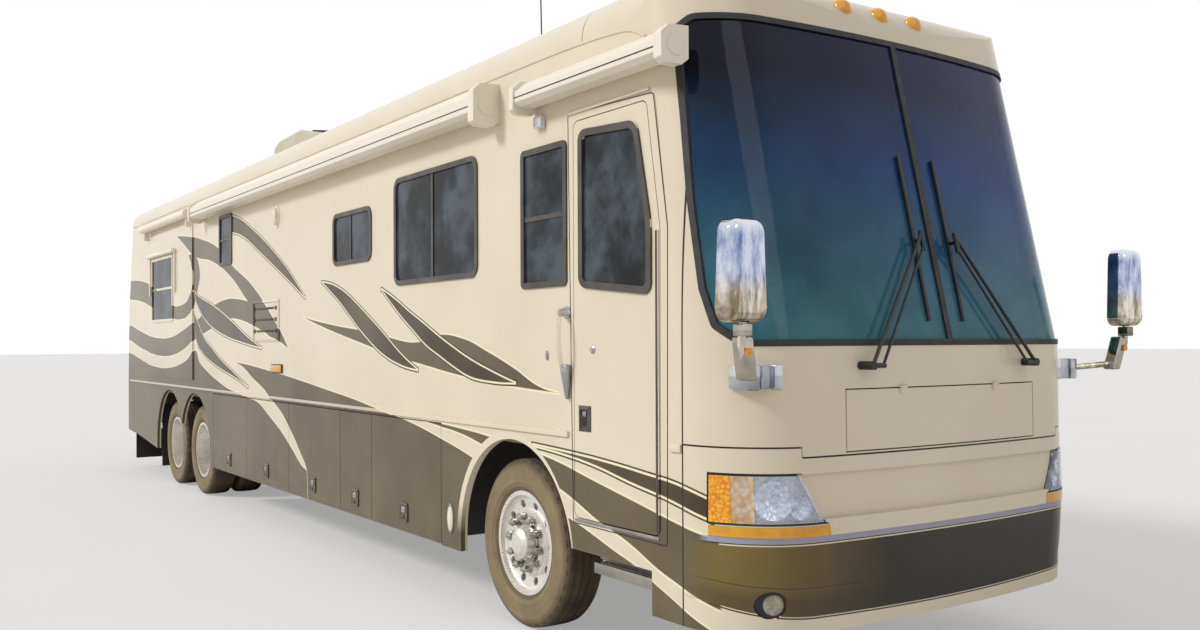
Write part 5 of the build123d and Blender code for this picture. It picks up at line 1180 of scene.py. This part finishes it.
def small_details():
    fitted(block("cab_window_blind", (0.20, -1.246, 2.37), (0.601, -1.243, 2.705), 0.001), BLIND)
    outlets = [
        block("outlet", (1.62, y - 0.09, 1.5905), (1.70, y + 0.09, 1.6), 0.003) for y in (-0.94, -0.42, 0.30, 0.94)
    ]
    fitted(joined("dash_outlets", outlets), MATT_BLACK)
    # the entry step's ribs and nosings: near and far edge of each tread, and its top
    ribs = []
    for near, far, top in ((0.905, 1.186, 0.5), (0.885, 1.146, 0.568)):
        for number in range(9):
            y = near + (far - near) * number / 8
            ribs.append(block("rib", (0.757, -y - 0.004, top - 0.001), (1.34, -y + 0.004, top + 0.003)))
    for y, low, high in ((-1.19, 0.478, 0.5), (-1.15, 0.546, 0.568)):
        ribs.append(block("nosing", (0.752, y - 0.004, low - 0.030), (1.345, y + 0.001, high + 0.004), 0.0015))
    fitted(joined("step_tread_ribs", ribs), STEP_METAL)
    fitted(block("rock_guard_band", (-10.2955, -1.19, 0.125), (-10.2925, 1.19, 0.165), 0.001), STEP_METAL)


wall_lamps()
fridge_vent()
roof_fittings()
awning_details()
mirror_fittings()
small_details()

# ---------------------------------------------------------------- front seats

FLOOR_TOP = 1.1803
# Each seat's rear edge ahead of the front axle, its middle across the coach, and its name
SEATS = ((0.64, 0.62, "driver"), (0.09, -0.76, "passenger"))
# Cushion: start ahead of the rear edge, length, half width, low, high, how far it may swell
CUSHIONS = (
    ("seat_cushion", 0.0, 0.56, 0.25, 0.25, 0.40, 0.02),
    ("seat_back", -0.06, 0.12, 0.25, 0.38, 0.90, 0.016),
    ("head_rest", -0.05, 0.10, 0.14, 0.90, 1.13, 0.016),
)
CHANNELS = (-0.085, 0.085)
CHANNEL_WIDTH = 0.008


def stuffed(name, low, high, swell):
    """A cushion's cover, blown up like a filled one from a slightly smaller block."""
    pad = block(name, [a + swell * 0.7 for a in low], [b - swell * 0.7 for b in high], 0.028, 3)
    remesh = pad.modifiers.new("even_mesh", "REMESH")
    remesh.mode = "VOXEL"
    remesh.voxel_size = 0.011
    bpy.ops.object.modifier_apply(modifier="even_mesh")
    before = [v.co.copy() for v in pad.data.vertices]
    cloth = pad.modifiers.new("filling", "CLOTH")
    cloth.settings.use_pressure = True
    cloth.settings.uniform_pressure_force = 4.0
    cloth.settings.effector_weights.gravity = 0.0
    for number in range(1, 21):
        bpy.context.scene.frame_set(number)
    bpy.ops.object.modifier_apply(modifier="filling")
    for vertex, start in zip(pad.data.vertices, before):
        moved = vertex.co - start
        if moved.length > swell:
            vertex.co = start + moved * (swell / moved.length)
    bpy.context.scene.frame_set(1)
    return pad


def press(away):
    """How deep a sewn channel is, as a share, at a distance from its line."""
    return math.exp(-((away / CHANNEL_WIDTH) ** 2))


def sewn(pad, middle, kind):
    """Presses the sewn channels across the cushion's top or the back's front."""
    for vertex in pad.data.vertices:
        spot = vertex.co
        if kind == "seat_cushion" and spot.z > middle[2]:
            for channel in CHANNELS:
                spot.z -= 0.009 * press(spot.y - middle[1] - channel)
        elif kind == "seat_back" and spot.x > middle[0]:
            for channel in CHANNELS:
                spot.x -= 0.008 * press(spot.y - middle[1] - channel)
            spot.x -= 0.008 * press(spot.z - middle[2] - 0.12)


def place_seats():
    for rear, across, seat_name in SEATS:
        for kind, start, length, half, low_z, high_z, swell in CUSHIONS:
            low = (rear + start, across - half, FLOOR_TOP + low_z + 0.004)
            high = (rear + start + length, across + half, FLOOR_TOP + high_z - 0.004)
            pad = stuffed(f"{kind}_{seat_name}", low, high, swell)
            sewn(pad, placed([(a + b) / 2 for a, b in zip(low, high)]), kind)
            choose(pad)
            smooth = pad.modifiers.new("smooth", "SUBSURF")
            smooth.levels = smooth.render_levels = 1
            bpy.ops.object.modifier_apply(modifier="smooth")
            fitted(pad, LEATHER, smooth=80)
        low, high = (rear + 0.11, across - 0.075, FLOOR_TOP), (rear + 0.50, across + 0.075, FLOOR_TOP + 0.245)
        post = block(f"seat_post_{seat_name}", low, high, 0.008)
        edit_faces(post, lambda _, normal: normal.z > 0.9, (bpy.ops.transform.resize, {"value": (1.1, 1.6, 1)}))
        fitted(post, DASH_VINYL)
    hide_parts("seats")


place_seats()

# ---------------------------------------------------------------- floor, light and camera

CAMERA_SPOT = (9.6909, -4.4253, 1.6604)
YAW, PITCH, ROLL = math.radians(34.642), math.radians(0.317), math.radians(-0.251)
# Sunlight: direction, strength, spread in degrees
LIGHTS = {"side_light": ((0.35, 0.82, -0.62), 1.95, 14), "front_light": ((-0.9, 0.1, -0.6), 0.2, 25)}


def studio_floor():
    choose()
    bpy.ops.mesh.primitive_plane_add(size=1, location=(0, 0, 0), scale=(1, 1, 1))
    ground = named("studio_floor")
    ground.scale = (400, 400, 1)
    apply_place(ground)
    edit_all("FACE", bpy.ops.mesh.subdivide, number_cuts=3)
    finish = Finish("studio_floor")
    finish.colour(finish.noise(0.4, 2.0).mix((226, 224, 220), (234, 232, 229)))
    finish.set(Roughness=0.9)
    finish.bump(finish.noise(3.0), 0.02)
    ground.data.materials.append(finish.material)
    # seen directly, the floor glows a little, so that it stays pale up to the horizon
    share = finish.node("LightPath", output="Is Camera Ray") * 0.35
    pale = finish.node("Emission", {"Color": (1, 1, 1, 1), "Strength": 0.94})
    blend = finish.node("MixShader", {0: share, 1: Value(finish, finish.surface.outputs[0]), 2: pale})
    finish.put(finish.tree.nodes["Material Output"].inputs["Surface"], blend)


def white_sky():
    """White to the camera, in reflections and through glass, and dimmer as a light."""
    world = bpy.data.worlds.new("studio")
    bpy.context.scene.world = world
    world.use_nodes = True
    tree = world.node_tree
    path = tree.nodes.new("ShaderNodeLightPath")
    bright = tree.nodes.new("ShaderNodeMapRange")
    bright.inputs["To Min"].default_value = 0.46
    bright.inputs["To Max"].default_value = 1.0
    seen = path.outputs["Is Camera Ray"]
    for ray in ("Is Glossy Ray", "Is Transmission Ray"):
        either = tree.nodes.new("ShaderNodeMath")
        either.operation = "MAXIMUM"
        tree.links.new(seen, either.inputs[0])
        tree.links.new(path.outputs[ray], either.inputs[1])
        seen = either.outputs[0]
    tree.links.new(seen, bright.inputs["Value"])
    sky = tree.nodes["Background"]
    sky.inputs["Color"].default_value = (1, 1, 1, 1)
    tree.links.new(bright.outputs["Result"], sky.inputs["Strength"])


def lights_and_camera():
    for name, (direction, strength, angle) in LIGHTS.items():
        light = bpy.data.lights.new(name, "SUN")
        light.energy = strength
        light.angle = math.radians(angle)
        lamp = bpy.data.objects.new(name, light)
        lamp.rotation_euler = Vector(direction).to_track_quat("-Z", "Y").to_euler()
        bpy.context.scene.collection.objects.link(lamp)

    lens = bpy.data.cameras.new("camera")
    lens.sensor_width = 36.0
    lens.lens = 32.638
    lens.shift_y = 0.01784
    lens.clip_end = 1000
    camera = bpy.data.objects.new("camera", lens)
    forward = Vector((-math.cos(YAW) * math.cos(PITCH), math.sin(YAW) * math.cos(PITCH), math.sin(PITCH)))
    right = forward.cross(Vector((0, 0, 1))).normalized()
    up = right.cross(forward)
    turned_right = math.cos(ROLL) * right + math.sin(ROLL) * up
    turned_up = -math.sin(ROLL) * right + math.cos(ROLL) * up
    turn = Matrix((turned_right, turned_up, -forward)).transposed().to_4x4()
    camera.matrix_world = Matrix.Translation(CAMERA_SPOT) @ turn
    bpy.context.scene.collection.objects.link(camera)
    bpy.context.scene.camera = camera
    bpy.context.scene.view_settings.view_transform = "Standard"


studio_floor()
white_sky()
lights_and_camera()
bpy.context.view_layer.update()
